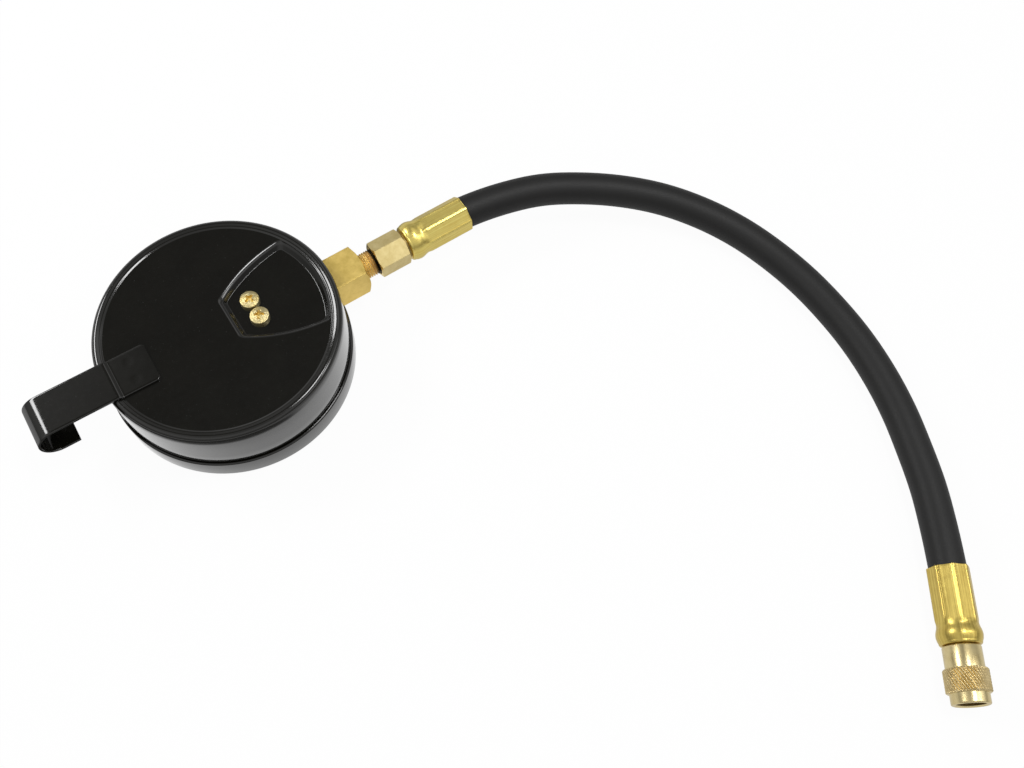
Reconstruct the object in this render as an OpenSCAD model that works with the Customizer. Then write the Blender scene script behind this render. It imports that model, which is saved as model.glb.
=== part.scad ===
// Fuel pressure gauge with a test hose, seen from its back.
// Millimetres. The bezel's front rim lies on z = 0 with the dial facing down.
// +Z points out of the back, +X along the stem, and the hook reaches toward -X.

/* [Case] */
// Outside diameter of the drawn case
case_diameter = 90.5; // [88:0.5:94]
// Sheet thickness of the case
case_sheet = 0.9; // [0.7:0.1:1]
// Height of the back rim above the bezel's face
case_height = 31; // [31:0.5:34]
// Radius of the rounded back edge
back_edge_radius = 2; // [1.4:0.1:2.4]
// Width of the raised rim around the back
rim_width = 2.6; // [2:0.1:3]
// Step from the rim down to the sunken back
back_step = 0.7; // [0.4:0.1:1]
// Depth of the pocket below the sunken back
pocket_depth = 2.4; // [1.8:0.1:2.6]
// How far the pocket's wall leans
pocket_slope = 1.5; // [1:0.1:2]
// Distance of the pocket's inner edge from the case axis
pocket_start = 5.5; // [4.5:0.1:6.5]
// Radius of the pocket's bowed sides
pocket_bow = 58.6; // [58:0.1:60]

/* [Bezel and lens] */
// How far the bezel stands out past the case
bezel_overhang = 0.9; // [0.6:0.1:2]
// Height of the bezel
bezel_height = 10; // [9:0.1:10]
// Width of the dark line between bezel and case
bezel_line = 0.9; // [0.5:0.1:1.4]
// Width of the bezel's lip in front of the lens
bezel_lip = 4.6; // [4:0.1:5]
// Thickness of the bezel's lip
lip_thickness = 1.5; // [1:0.1:1.8]
// Thickness of the lens
lens_thickness = 2; // [1.5:0.1:2.2]
// Thickness of the lens gasket
gasket_thickness = 1; // [0.6:0.1:1.2]

/* [Dial] */
// Height of the dial's printed face above the bezel's face
dial_face = 9; // [8.6:0.1:9]
// Thickness of the dial plate
dial_thickness = 0.8; // [0.5:0.1:0.8]
// Length of the pointer from its axis
pointer_length = 33; // [28:1:35]
// Angle of the zero mark from the stem
zero_angle = 45; // [40:1:50]

/* [Socket] */
// Height of the stem axis above the bezel's face
stem_height = 17.3; // [17.2:0.1:17.6]
// Side of the socket's square bar
bar_side = 14; // [13.5:0.1:14]
// Reach of the square bar from the case axis
bar_reach = 58; // [57:0.5:62]
// Diameter of the male pipe thread
thread_diameter = 10.2; // [9.8:0.1:10.6]
// Pitch of the pipe thread
thread_pitch = 0.94; // [0.9:0.02:1.1]
// Length of thread left in sight
thread_shown = 5.7; // [4:0.1:7]
// Length of thread inside the coupling
thread_held = 7.8; // [6:0.1:8.5]

/* [Back screws] */
// Distance of the two screws from the case axis
screw_reach = 14.7; // [14.4:0.1:15.5]
// Distance between the two screws
screw_spacing = 7.8; // [7.6:0.1:8.4]
// Diameter of the screw heads
screw_head = 7.2; // [6.6:0.1:7.4]
// Height of the screw heads
screw_head_height = 2.3; // [1.8:0.1:2.6]
// Diameter of the screw shanks
screw_shank = 3.5; // [3:0.1:3.8]

/* [Hook] */
// Width of the strap
strap_width = 16.2; // [14:0.1:18]
// Thickness of the strap
strap_thickness = 1; // [0.8:0.1:1.2]
// Inner end of the strap from the case axis
strap_start = 25.8; // [24:0.1:32]
// Turn of the strap, which sits slightly askew
strap_turn = -1.6; // [-1.8:0.1:0]
// Distance from the case axis to the start of the curl
curl_start = 66.3; // [60:0.1:72]
// Outside radius of the curl
curl_radius = 7; // [6.5:0.1:8]
// Length of the straight end after the curl
curl_return = 5.9; // [3:0.1:7]

/* [Hose fittings] */
// Hex size across flats
hex_flats = 12.7; // [12.5:0.1:14]
// Length of the hex
hex_length = 12.8; // [11.5:0.1:13]
// Turn of the hex around the stem
hex_turn = 5; // [0:1:29]
// Length of the crimped ferrules
ferrule_length = 26.6; // [25:0.1:30]
// Largest diameter of the ferrules
ferrule_bulge = 15.3; // [15:0.1:15.4]
// Diameter of the ferrules over the crimped part
ferrule_body = 14.3; // [14.2:0.1:14.6]
// Distance across opposite crimp flats
ferrule_flats = 13.5; // [13.5:0.1:13.9]

/* [Hose] */
// Outside diameter of the hose
hose_diameter = 12.7; // [12.3:0.1:12.7]
// Bore of the hose
hose_bore = 6.4; // [6.3:0.1:6.8]

/* [Swivel nut] */
// Length of the nut's smooth neck
nut_neck_length = 7.4; // [6.8:0.1:8]
// Diameter of the nut's smooth neck
nut_neck = 12.8; // [12.6:0.1:13.4]
// Length of the knurled band
knurl_length = 8; // [7:0.1:9]
// Diameter of the knurled band
knurl_diameter = 14.9; // [14.6:0.1:15.2]
// Depth of the knurling
knurl_depth = 0.45; // [0.35:0.05:0.5]
// Length of the smooth end
nut_end_length = 3.7; // [3:0.1:4.5]
// Diameter of the smooth end
nut_end = 13; // [13:0.1:13.8]
// Core diameter of the nut's inside thread
port_core = 9.9; // [9.7:0.1:10.4]
// Length of the nut's inside thread
port_length = 9.2; // [8.6:0.1:9.4]

/* [Hidden] */
$fn = 72;
// Running clearance around pivots, and the play at the link's loose eye
run = 0.05;
play = 0.35;
tiny = 0.02;

case_r = case_diameter / 2;
panel_z = case_height - back_step;
pocket_z = panel_z - pocket_depth;
panel_r = case_r - rim_width - 0.6;
pocket_r = panel_r - 0.8;
bow_at = [39.5, -39.1];
shoulder_z = bezel_height + bezel_line;
spigot_r = case_r - 0.8;
bezel_r = case_r + bezel_overhang;
bezel_bore = spigot_r + run;
lip_r = bezel_r - bezel_lip - 0.6;
lens_r = spigot_r - 0.2;
lens_back = lip_thickness + lens_thickness;
case_front = lens_back + gasket_thickness;
dial_back = dial_face + dial_thickness;
dial_r = spigot_r - case_sheet - 1;
bar_half = bar_side / 2;
bar_top = stem_height + bar_half;
pad_top = pocket_z - case_sheet;
socket_inner = 9.8;
thread_r = thread_diameter / 2;
nipple_end = bar_reach + thread_shown + thread_held;
hex_x = bar_reach + thread_shown;
ferrule_x = hex_x + hex_length + 0.9;
hose_r = hose_diameter / 2;
bore_r = hose_bore / 2;
stem_r = bore_r * cos(15) - tiny;
stem_hole = 1.9;
ferrule_wall = 1;

// Turn of the crimped flats about each ferrule's axis
gauge_crimp_turn = 21.3;
tool_crimp_turn = -12.8;

// Movement levels
front_plate_z = dial_back + 1.7;
plate = 1.2;
pillar_z = front_plate_z + plate;
back_plate_z = pillar_z + 6.8;
tongue_z = back_plate_z + plate;
gear_z = pillar_z + 2.3;
gear_t = 1.4;
spring_z = pillar_z + 0.6;
link_z = gear_z + gear_t + 0.3;
link_t = 1;
lug_z = link_z + link_t + 0.3;

// Gear train: pinion on the case axis, sector pivot at an angle from the stem
gear_module = 0.3;
pinion_teeth = 12;
sector_teeth = 108;
pinion_pitch = gear_module * pinion_teeth / 2;
sector_pitch = gear_module * sector_teeth / 2;
gear_centres = pinion_pitch + sector_pitch;
sector_angle = 255;
sector_swing = 30;
tooth_thick = 0.42;
pressure_angle = 20;
pivot = gear_centres * [cos(sector_angle), sin(sector_angle)];
tail = 7;
tail_angle = sector_angle + sector_swing / 2;
tail_pin = pivot + tail * [cos(tail_angle), sin(tail_angle)];
link_length = 11;
tip_pin = tail_pin + link_length * [-sin(sector_angle), cos(sector_angle)];
pin_r = 0.8;
eye_r = 2.2;

// Bourdon tube
tube_width = 4.6;
tube_tall = 10;
tip_clear = 0.6;
tube_r = norm(tip_pin) + eye_r + tip_clear + tube_width / 2;
tube_wall = 0.5;
tube_from = 7;
tube_to = 275;
tip_sweep = 8;
plate_r = 8.2;
plate_arm = 7;
pillar_at = [[0, 6.3], pivot + 5.2 * [cos(170), sin(170)], pivot + 5.2 * [cos(350), sin(350)]];
mover_at = [[5.2, 4], [5.2, -4]];
dial_screw_at = [[18, 5], [18, -5]];

// Tool end of the hose: height and heading of its axis, and the mouth of its ferrule
tool_heading = 237.1;
tool_mouth = [170, -210.4, 7.7];
nut_x = ferrule_length + 0.4;
nut_back = 4;
nut_relief = 10.6;
nut_length = nut_neck_length + knurl_length + nut_end_length;
flange_x = nut_x + nut_back + 0.15;
flange_t = 1.8;
washer_t = 1.5;
neck_r = 4.2;

// Hose route, from inside one ferrule to inside the other
route = [
    [104, 0, stem_height], [120, -2.5, 17], [136, -7, 16], [151, -14.5, 14.4], [165, -24, 12.6],
    [177, -35, 10.8], [187, -48, 9], [194.5, -62, 7.5], [199.5, -77, 6.6], [202.4, -93, 6.4],
    [203.3, -109, 6.4], [202.7, -125, 6.4], [200.2, -141, 6.5], [196.2, -156, 6.7], [191, -170, 6.9],
    [185, -184, 7.2], [178, -197, 7.5]
];
tool_way = [cos(tool_heading), sin(tool_heading), 0];
hose_start = [ferrule_x + ferrule_wall, 0, stem_height];
hose_stop = tool_mouth + (ferrule_length - ferrule_wall) * tool_way;
path = concat([hose_start], route, [tool_mouth, hose_stop]);
hose_sides = 12;

function unit(v) = v / norm(v);
function heading(p, i) =
    i == 0 ? unit(p[1] - p[0]) :
    i == len(p) - 1 ? unit(p[i] - p[i - 1]) :
    unit(unit(p[i] - p[i - 1]) + unit(p[i + 1] - p[i]));
function ring(c, d, r) = [
    let (side = unit(cross([0, 0, 1], d)), up = cross(d, side))
    for (k = [0 : hose_sides - 1])
        c + r * (cos(k * 360 / hose_sides) * side + sin(k * 360 / hose_sides) * up)
];
function rings(p, r) = [for (i = [0 : len(p) - 1]) each ring(p[i], heading(p, i), r)];
function wall(n, m, base, flip) = [
    for (i = [0 : n - 2], k = [0 : m - 1])
        let (a = base + i * m + k, b = base + i * m + (k + 1) % m)
        each flip ? [[a, a + m, b + m], [a, b + m, b]] : [[a, b + m, a + m], [a, b, b + m]]
];
function end_cap(m, outer, inner, flip) = [
    for (k = [0 : m - 1])
        let (a = outer + k, b = outer + (k + 1) % m, c = inner + k, d = inner + (k + 1) % m)
        each flip ? [[a, c, d], [a, d, b]] : [[a, d, c], [a, b, d]]
];

// Involute gear outline: tooth flanks by formula, about the gear's own centre
function flank(base, r) = let (c = acos(base / r)) tan(c) * 180 / PI - c;
function tooth(pitch, root, top, middle) =
    let (
        base = pitch * cos(pressure_angle),
        half = tooth_thick / pitch / 2 * 180 / PI + flank(base, pitch),
        low = max(base * 1.0005, root),
        side = [for (k = [0 : 4]) let (r = low + (top - low) * k / 4) [r, half - flank(base, r)]]
    )
    concat(
        [root * [cos(middle - side[0][1]), sin(middle - side[0][1])]],
        [for (s = side) s[0] * [cos(middle - s[1]), sin(middle - s[1])]],
        [for (k = [4 : -1 : 0]) side[k][0] * [cos(middle + side[k][1]), sin(middle + side[k][1])]],
        [root * [cos(middle + side[0][1]), sin(middle + side[0][1])]]
    );

// Pocket outline, moved in by an inset, as seen from the back. Its outer wall leans more than the sides
function spoke(a) = [cos(a), sin(a)];
function angle_of(v) = atan2(v[1], v[0]);
function circles_meet(centre, r, reach) =
    let (d = norm(centre), u = centre / d, k = (reach * reach - r * r + d * d) / (2 * d))
    k * u + sqrt(reach * reach - k * k) * [-u[1], u[0]];
function pocket_half(inset) =
    let (
        corner = 2.6 - inset * 0.3,
        outer = pocket_r - inset * 1.6,
        side = pocket_bow - inset,
        near_x = pocket_start + inset + corner,
        run_x = near_x - bow_at[0],
        near = [near_x, bow_at[1] + sqrt((side - corner) * (side - corner) - run_x * run_x)],
        far = circles_meet(bow_at, side - corner, outer - corner),
        near_turn = angle_of(near - bow_at),
        far_turn = angle_of(far - bow_at),
        end_turn = angle_of(far)
    )
    concat(
        [for (k = [0 : 5]) near + corner * spoke(180 + (near_turn - 180) * k / 5)],
        [for (k = [1 : 5]) bow_at + side * spoke(near_turn + (far_turn - near_turn) * k / 6)],
        [for (k = [0 : 5]) far + corner * spoke(far_turn + (end_turn - far_turn) * k / 5)],
        [for (k = [1 : 6]) outer * spoke(end_turn * (1 - k / 6))]
    );
function pocket_line(inset, z) =
    let (h = pocket_half(inset), n = len(h))
    concat(
        [for (p = h) [p[0], p[1], z]],
        [for (k = [n - 2 : -1 : 0]) [h[k][0], -h[k][1], z]]
    );

module pocket_form(levels) {
    n = len(pocket_line(0, 0));
    points = [for (l = levels) each pocket_line(l[0], l[1])];
    top = (len(levels) - 1) * n;
    polyhedron(points, concat(
        [[for (k = [n - 1 : -1 : 0]) k]],
        [[for (k = [0 : n - 1]) top + k]],
        wall(len(levels), n, 0, false)
    ));
}

module stadium(width, tall) {
    square([width, tall - width], center = true);
    for (s = [-1, 1]) translate([0, s * (tall - width) / 2]) circle(d = width);
}

module along_stem(x) {
    translate([x, 0, stem_height]) rotate([0, 90, 0]) children();
}

module along_tool(x) {
    translate(tool_mouth + x * tool_way) rotate([0, 0, tool_heading]) rotate([0, 90, 0]) children();
}

module case_outline() {
    translate([0, shoulder_z]) square([case_r, case_height - back_edge_radius - shoulder_z]);
    square_top = case_r - back_edge_radius;
    translate([0, shoulder_z]) square([square_top, case_height - shoulder_z]);
    translate([square_top, case_height - back_edge_radius]) circle(r = back_edge_radius);
    translate([0, case_front]) square([spigot_r, shoulder_z + 1 - case_front]);
}

module case_hollow() {
    inner = case_r - case_sheet;
    turn = back_edge_radius - case_sheet;
    top = panel_z - case_sheet;
    translate([-1, case_front - 1]) square([spigot_r - case_sheet + 1, shoulder_z - case_front + 3]);
    translate([-1, shoulder_z + case_sheet]) square([inner + 1, top - turn - shoulder_z - case_sheet]);
    translate([-1, shoulder_z + case_sheet]) square([inner - turn + 1, top - shoulder_z - case_sheet]);
    translate([inner - turn, top - turn]) circle(r = turn);
}

module case_shell() {
    color([0.1, 0.1, 0.1]) difference() {
        union() {
            rotate_extrude($fn = 120) difference() {
                intersection() {
                    case_outline();
                    square([case_r + 1, case_height + 1]);
                }
                intersection() {
                    case_hollow();
                    square([case_r + 1, case_height + 1]);
                }
                polygon([
                    [0, panel_z], [panel_r, panel_z], [panel_r + 0.6, case_height],
                    [panel_r + 0.6, case_height + 1], [0, case_height + 1]
                ]);
            }
            pocket_form([
                [pocket_slope - case_sheet * 0.8, pocket_z - case_sheet],
                [-case_sheet * 0.8, panel_z - case_sheet],
                [-case_sheet * 0.8, panel_z - case_sheet / 2]
            ]);
        }
        pocket_form([[pocket_slope, pocket_z], [0, panel_z], [0, panel_z + 1]]);
        slot_half = bar_half + run;
        translate([case_r / 2, -slot_half, 0]) cube([case_r, 2 * slot_half, bar_top + run]);
        for (s = [-1, 1]) translate([screw_reach, s * screw_spacing / 2, pocket_z - 3])
            cylinder(d = screw_shank + 0.3, h = 6);
    }
}

module bezel_ring() {
    color([0.12, 0.12, 0.12]) rotate_extrude($fn = 120) difference() {
        union() {
            translate([lip_r + 0.6, 0]) square([bezel_r - lip_r - 2.2, bezel_height]);
            translate([lip_r, 0.6]) square([bezel_r - lip_r, bezel_height - 1.1]);
            translate([lip_r + 0.6, 0.6]) circle(r = 0.6);
            translate([bezel_r - 0.5, bezel_height - 0.5]) circle(r = 0.5);
            translate([bezel_r - 2, bezel_height - 0.5]) square([1.5, 0.5]);
        }
        translate([lip_r - 1, lip_thickness]) square([bezel_bore - lip_r + 1, bezel_height]);
        difference() {
            translate([bezel_r - 1.6, -1]) square([3, 2.6]);
            translate([bezel_r - 1.6, 1.6]) circle(r = 1.6);
        }
    }
}

module lens() {
    color([0.85, 0.9, 0.92]) translate([0, 0, lip_thickness])
        cylinder(r = lens_r, h = lens_thickness, $fn = 120);
}

module lens_gasket() {
    color([0.15, 0.15, 0.15]) translate([0, 0, lens_back]) difference() {
        cylinder(r = lens_r, h = gasket_thickness);
        translate([0, 0, -1]) cylinder(r = lens_r - 1.6, h = gasket_thickness + 2);
    }
}

module dial_plate() {
    color([0.95, 0.95, 0.93]) translate([0, 0, dial_face]) difference() {
        cylinder(r = dial_r, h = dial_thickness, $fn = 120);
        translate([0, 0, -1]) cylinder(r = 2.5, h = dial_thickness + 2);
        for (p = dial_screw_at) translate([p[0], p[1], -1]) cylinder(r = 1.1, h = dial_thickness + 2);
        rotate(zero_angle - 3.4) translate([24, 0, -1]) cylinder(r = 0.6, h = dial_thickness + 2);
    }
}

module dial_screws() {
    color([0.8, 0.8, 0.8]) for (p = dial_screw_at) translate([p[0], p[1], dial_face]) difference() {
        union() {
            translate([0, 0, -0.9]) cylinder(r = 1.9, h = 0.9);
            cylinder(r = 1, h = dial_thickness + 3);
        }
        translate([-3, -0.25, -1]) cube([6, 0.5, 0.5]);
    }
}

module stop_pin() {
    color([0.7, 0.7, 0.7]) rotate(zero_angle - 3.4) translate([24, 0, dial_face - 3.2])
        cylinder(r = 0.6, h = 3.2 + dial_thickness);
}

module pointer() {
    color([0.08, 0.08, 0.08]) rotate(zero_angle) translate([0, 0, dial_face - 3]) difference() {
        union() {
            cylinder(r = 2.6, h = 2);
            translate([0, 0, 0.4]) linear_extrude(0.5) {
                polygon([[0, 1.2], [pointer_length - 6, 0.45], [pointer_length, 0.1],
                    [pointer_length, -0.1], [pointer_length - 6, -0.45], [0, -1.2]]);
                polygon([[0, 1.2], [-12, 2.4], [-12, -2.4], [0, -1.2]]);
                translate([-12, 0]) circle(r = 2.4);
            }
        }
        translate([0, 0, -1]) cylinder(r = 1, h = 4);
    }
}

module pointer_shaft() {
    root = pinion_pitch - 0.28;
    color([0.75, 0.75, 0.72]) {
        translate([0, 0, dial_face - 3.3]) cylinder(r = 1, h = front_plate_z - 0.4 - dial_face + 3.4);
        translate([0, 0, front_plate_z - 0.4]) cylinder(r = 1.2, h = plate + 0.7);
        translate([0, 0, pillar_z + 0.3]) cylinder(r = 1.6, h = 1.4);
        translate([0, 0, pillar_z + 1.6]) cylinder(r = 1, h = back_plate_z - pillar_z - 1.9);
        translate([0, 0, back_plate_z - 0.4]) cylinder(r = 0.6, h = plate + 0.2);
        translate([0, 0, gear_z]) linear_extrude(gear_t) {
            circle(r = root);
            for (k = [0 : pinion_teeth - 1])
                polygon(concat([[0, 0]], tooth(pinion_pitch, root - tiny, pinion_pitch + 0.3,
                    sector_angle + k * 360 / pinion_teeth)));
        }
    }
}

module hairspring() {
    turns = 3;
    steps = 72;
    inner = 1.6;
    outer = 4.1;
    thick = 0.14;
    function at(k, side) =
        let (u = k / steps, a = u * turns * 360, r = inner + (outer - inner) * u + side * thick / 2)
        (r + thick / 2) * [cos(a), sin(a)];
    color([0.5, 0.5, 0.55]) translate([0, 0, spring_z]) linear_extrude(0.6)
        polygon(concat([for (k = [0 : steps]) at(k, 1)], [for (k = [steps : -1 : 0]) at(k, -1)]));
}

module hairspring_stud() {
    color([0.8, 0.7, 0.4]) translate([4.1 + 0.14 + 0.5, 0, pillar_z]) cylinder(r = 0.5, h = 1.5);
}

module sector_gear() {
    root = sector_pitch - 0.38;
    top = sector_pitch + 0.2;
    step = 360 / sector_teeth;
    middle = sector_angle + 180 + sector_swing / 2;
    reach = 2 * sector_pitch;
    color([0.78, 0.62, 0.3]) translate([pivot[0], pivot[1], 0]) {
        translate([0, 0, gear_z]) linear_extrude(gear_t) difference() {
            union() {
                circle(r = 2.4);
                intersection() {
                    circle(r = root, $fn = 120);
                    polygon([[0, 0], reach * [cos(middle - 20), sin(middle - 20)],
                        reach * [cos(middle), sin(middle)], reach * [cos(middle + 20), sin(middle + 20)]]);
                }
                for (k = [-1 : 10]) let (m = sector_angle + 180 + (k + 0.5) * step)
                    polygon(concat([(root - 1) * [cos(m), sin(m)]],
                        tooth(sector_pitch, root - tiny, top, m)));
                rotate(tail_angle) translate([0, -1.6]) square([tail, 3.2]);
                rotate(tail_angle) translate([tail, 0]) circle(r = eye_r);
            }
            intersection() {
                difference() {
                    circle(r = root - 2.6);
                    circle(r = 5);
                }
                polygon([[0, 0], reach * [cos(middle - 12), sin(middle - 12)],
                    reach * [cos(middle + 12), sin(middle + 12)]]);
            }
        }
        translate([0, 0, pillar_z + 0.3]) cylinder(r = 1, h = back_plate_z - pillar_z - 0.6);
        translate([0, 0, front_plate_z + 0.1])
            cylinder(r = 0.6, h = back_plate_z + plate - front_plate_z - 0.2);
    }
    color([0.78, 0.62, 0.3]) translate([tail_pin[0], tail_pin[1], gear_z])
        cylinder(r = pin_r, h = link_z + link_t + 0.2 - gear_z);
}

module link() {
    way = atan2(tip_pin[1] - tail_pin[1], tip_pin[0] - tail_pin[0]);
    color([0.8, 0.66, 0.34]) translate([tail_pin[0], tail_pin[1], link_z]) rotate(way)
        linear_extrude(link_t) difference() {
            union() {
                circle(r = eye_r);
                translate([link_length, 0]) circle(r = eye_r);
                translate([0, -1.4]) square([link_length, 2.8]);
            }
            circle(r = pin_r + run);
            translate([link_length, 0]) circle(r = pin_r + play);
        }
}

module bourdon_tube() {
    color([0.8, 0.6, 0.3]) translate([0, 0, stem_height]) rotate(tube_from)
        rotate_extrude(angle = tube_to - tube_from, $fn = 120) translate([tube_r, 0]) difference() {
            stadium(tube_width, tube_tall);
            stadium(tube_width - 2 * tube_wall, tube_tall - 2 * tube_wall);
        }
}

module tube_tip() {
    lug_angle = atan2(tip_pin[1], tip_pin[0]) + 360;
    color([0.76, 0.6, 0.28]) {
        translate([0, 0, stem_height]) rotate(tube_to)
            rotate_extrude(angle = tip_sweep, $fn = 120) translate([tube_r, 0])
                stadium(tube_width, tube_tall);
        translate([0, 0, lug_z]) rotate(lug_angle) translate([norm(tip_pin) - 2, -1.8, 0])
            cube([tube_r - norm(tip_pin) + 2, 3.6, 1.4]);
        translate([tip_pin[0], tip_pin[1], link_z - 0.3]) cylinder(r = pin_r, h = lug_z - link_z + 0.5);
    }
}

module plate_outline() {
    circle(r = plate_r);
    translate(pivot) circle(r = plate_arm);
    rotate(sector_angle) translate([0, -plate_arm]) square([gear_centres, 2 * plate_arm]);
}

module movement_back_plate() {
    color([0.8, 0.68, 0.38]) translate([0, 0, back_plate_z]) linear_extrude(plate) difference() {
        plate_outline();
        circle(r = 0.6 + run);
        translate(pivot) circle(r = 0.6 + run);
        for (p = pillar_at) translate(p) circle(r = 0.8);
        for (p = mover_at) translate(p) circle(r = 1);
    }
}

module movement_front_plate() {
    color([0.8, 0.68, 0.38]) translate([0, 0, front_plate_z]) linear_extrude(plate) difference() {
        plate_outline();
        circle(r = 1.2 + run);
        translate(pivot) circle(r = 0.6 + run);
        for (p = pillar_at) translate(p) circle(r = 0.9);
    }
}

module movement_pillars() {
    color([0.78, 0.66, 0.4]) for (p = pillar_at) translate([p[0], p[1], pillar_z]) difference() {
        union() {
            cylinder(r = 1.5, h = back_plate_z - pillar_z);
            cylinder(r = 0.8, h = back_plate_z - pillar_z + plate);
        }
        translate([0, 0, -1]) cylinder(r = 0.8, h = 3);
    }
}

module pillar_screws() {
    color([0.7, 0.7, 0.7]) for (p = pillar_at) translate([p[0], p[1], front_plate_z]) difference() {
        union() {
            translate([0, 0, -0.8]) cylinder(r = 1.4, h = 0.8);
            cylinder(r = 0.8, h = plate + 1.8);
        }
        translate([-2, -0.2, -1]) cube([4, 0.4, 0.5]);
    }
}

module movement_screws() {
    color([0.7, 0.7, 0.7]) for (p = mover_at) translate([p[0], p[1], back_plate_z]) difference() {
        union() {
            translate([0, 0, -1.1]) cylinder(r = 1.6, h = 1.1);
            cylinder(r = 0.95, h = plate + 3);
        }
        translate([-2, -0.2, -1.3]) cube([4, 0.4, 0.7]);
    }
}

module socket() {
    grooves = floor((thread_shown + thread_held - 1) / thread_pitch);
    core = thread_r - 0.62;
    bar_chamfer = 1.2;
    color([0.78, 0.62, 0.27]) difference() {
        union() {
            intersection() {
                translate([socket_inner, -bar_half, stem_height - bar_half])
                    cube([bar_reach - socket_inner, bar_side, bar_side]);
                along_stem(0) union() {
                    cylinder(r = bar_side, h = bar_reach - bar_chamfer);
                    translate([0, 0, bar_reach - bar_chamfer])
                        cylinder(r1 = bar_half * 1.42, r2 = bar_half * 1.02, h = bar_chamfer);
                }
            }
            translate([socket_inner, -bar_half, dial_back])
                cube([case_r - 3 - socket_inner, bar_side, bar_half]);
            translate([-8, -6, tongue_z]) cube([socket_inner + 9, 12, bar_top - tongue_z]);
            translate([socket_inner, -bar_half - 1, bar_top - 1])
                cube([12, bar_side + 2, pad_top - bar_top + 1]);
            along_stem(bar_reach - 0.5) rotate_extrude() polygon(concat(
                [[0, 0], [core, 0]],
                [for (k = [0 : grooves - 1]) each [
                    [core, 1 + k * thread_pitch], [thread_r, 1 + (k + 0.4) * thread_pitch],
                    [thread_r, 1 + (k + 0.6) * thread_pitch]
                ]],
                [[core, 1 + grooves * thread_pitch], [core, nipple_end - bar_reach + 0.5],
                    [0, nipple_end - bar_reach + 0.5]]
            ));
        }
        along_stem(tube_r * cos(tube_from) - 1.6) cylinder(r = 1.6, h = nipple_end);
        translate([tube_r * cos(tube_from), 0, stem_height]) rotate([-90, 0, 0]) cylinder(r = 1.3, h = 6);
        translate([0, 0, stem_height]) rotate(tube_from) rotate_extrude(angle = 20, $fn = 120)
            translate([tube_r, 0]) stadium(tube_width + 2 * tiny, tube_tall + 2 * tiny);
        for (s = [-1, 1]) translate([screw_reach, s * screw_spacing / 2, pad_top - 6.2])
            cylinder(d = screw_shank + 2 * tiny, h = 8);
        for (p = dial_screw_at) translate([p[0], p[1], dial_back - 1]) cylinder(r = 1 + tiny, h = 4.2);
        for (p = mover_at) translate([p[0], p[1], tongue_z - 1]) cylinder(r = 0.95 + tiny, h = 4.2);
    }
}

module socket_screws() {
    dome = 7;
    color([0.85, 0.7, 0.35]) for (s = [-1, 1]) translate([screw_reach, s * screw_spacing / 2, pocket_z])
        difference() {
            union() {
                intersection() {
                    cylinder(d = screw_head, h = screw_head_height);
                    translate([0, 0, screw_head_height - dome]) sphere(r = dome);
                }
                translate([0, 0, -6.8]) cylinder(d = screw_shank, h = 6.9);
            }
            for (a = [20, 110]) rotate(a) translate([-1.9, -0.45, screw_head_height - 1.4])
                cube([3.8, 0.9, 2]);
        }
}

module strap_profile(low, high, bend, centre) {
    t = strap_thickness;
    end = curl_return - curl_start;
    bent = [for (k = [0 : 24]) 90 + 180 * k / 24];
    polygon(concat(
        [[-strap_start, low], [-strap_start, low + t], [-bend + 0.8, low + t], [-bend - 0.2, high + t]],
        [for (a = bent) [-curl_start, centre] + curl_radius * spoke(a)],
        [[end, centre - curl_radius], [end, centre - curl_radius + t]],
        [for (k = [24 : -1 : 0]) [-curl_start, centre] + (curl_radius - t) * spoke(bent[k])],
        [[-bend, high], [-bend + 1, low]]
    ));
}

module hang_hook() {
    low = panel_z;
    high = case_height;
    top = low + strap_thickness;
    centre = high + strap_thickness - curl_radius;
    hook_end = curl_start + curl_radius + 1;
    corner = 1.6;
    tall = 2 * case_height;
    half = strap_width / 2;
    turn_at = [case_r + 1, 0, 0];
    color([0.1, 0.1, 0.1]) translate(-turn_at) rotate(strap_turn) translate(turn_at) difference() {
        intersection() {
            translate([0, half, 0]) rotate([90, 0, 0]) linear_extrude(strap_width)
                strap_profile(low, high, panel_r - 1.4, centre);
            union() {
                translate([-hook_end, -half, 0]) cube([hook_end - strap_start - corner, strap_width, tall]);
                translate([-strap_start - corner - 1, corner - half, 0])
                    cube([corner + 1, strap_width - 2 * corner, tall]);
                for (s = [-1, 1]) translate([-strap_start - corner, s * (half - corner), 0])
                    cylinder(r = corner, h = tall);
            }
        }
        for (s = [-1, 1]) translate([-strap_start - 7.5, s * 3.8, top - 0.2]) cylinder(r = 1.7, h = 1);
    }
}

module hex_coupling() {
    corner = hex_flats / cos(30);
    bevel = 0.7;
    color([0.85, 0.74, 0.45]) difference() {
        union() {
            along_stem(hex_x) intersection() {
                rotate(hex_turn) cylinder(d = corner, h = hex_length, $fn = 6);
                union() {
                    cylinder(d1 = hex_flats - 0.4, d2 = corner + 1, h = bevel);
                    translate([0, 0, bevel]) cylinder(d = corner + 1, h = hex_length - 2 * bevel);
                    translate([0, 0, hex_length - bevel])
                        cylinder(d1 = corner + 1, d2 = hex_flats - 0.4, h = bevel);
                }
            }
            along_stem(hex_x + hex_length - 1) cylinder(r = 5.2, h = ferrule_x - hex_x - hex_length + 1);
            along_stem(ferrule_x - 0.5) barbed_stem(ferrule_length - 2.5);
        }
        along_stem(hex_x - 1) cylinder(r = thread_r + run, h = thread_held + 1.6);
        along_stem(hex_x - 0.1) cylinder(r1 = thread_r + 0.5, r2 = thread_r, h = 0.6);
        along_stem(hex_x) cylinder(r = stem_hole, h = 60);
    }
}

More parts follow.
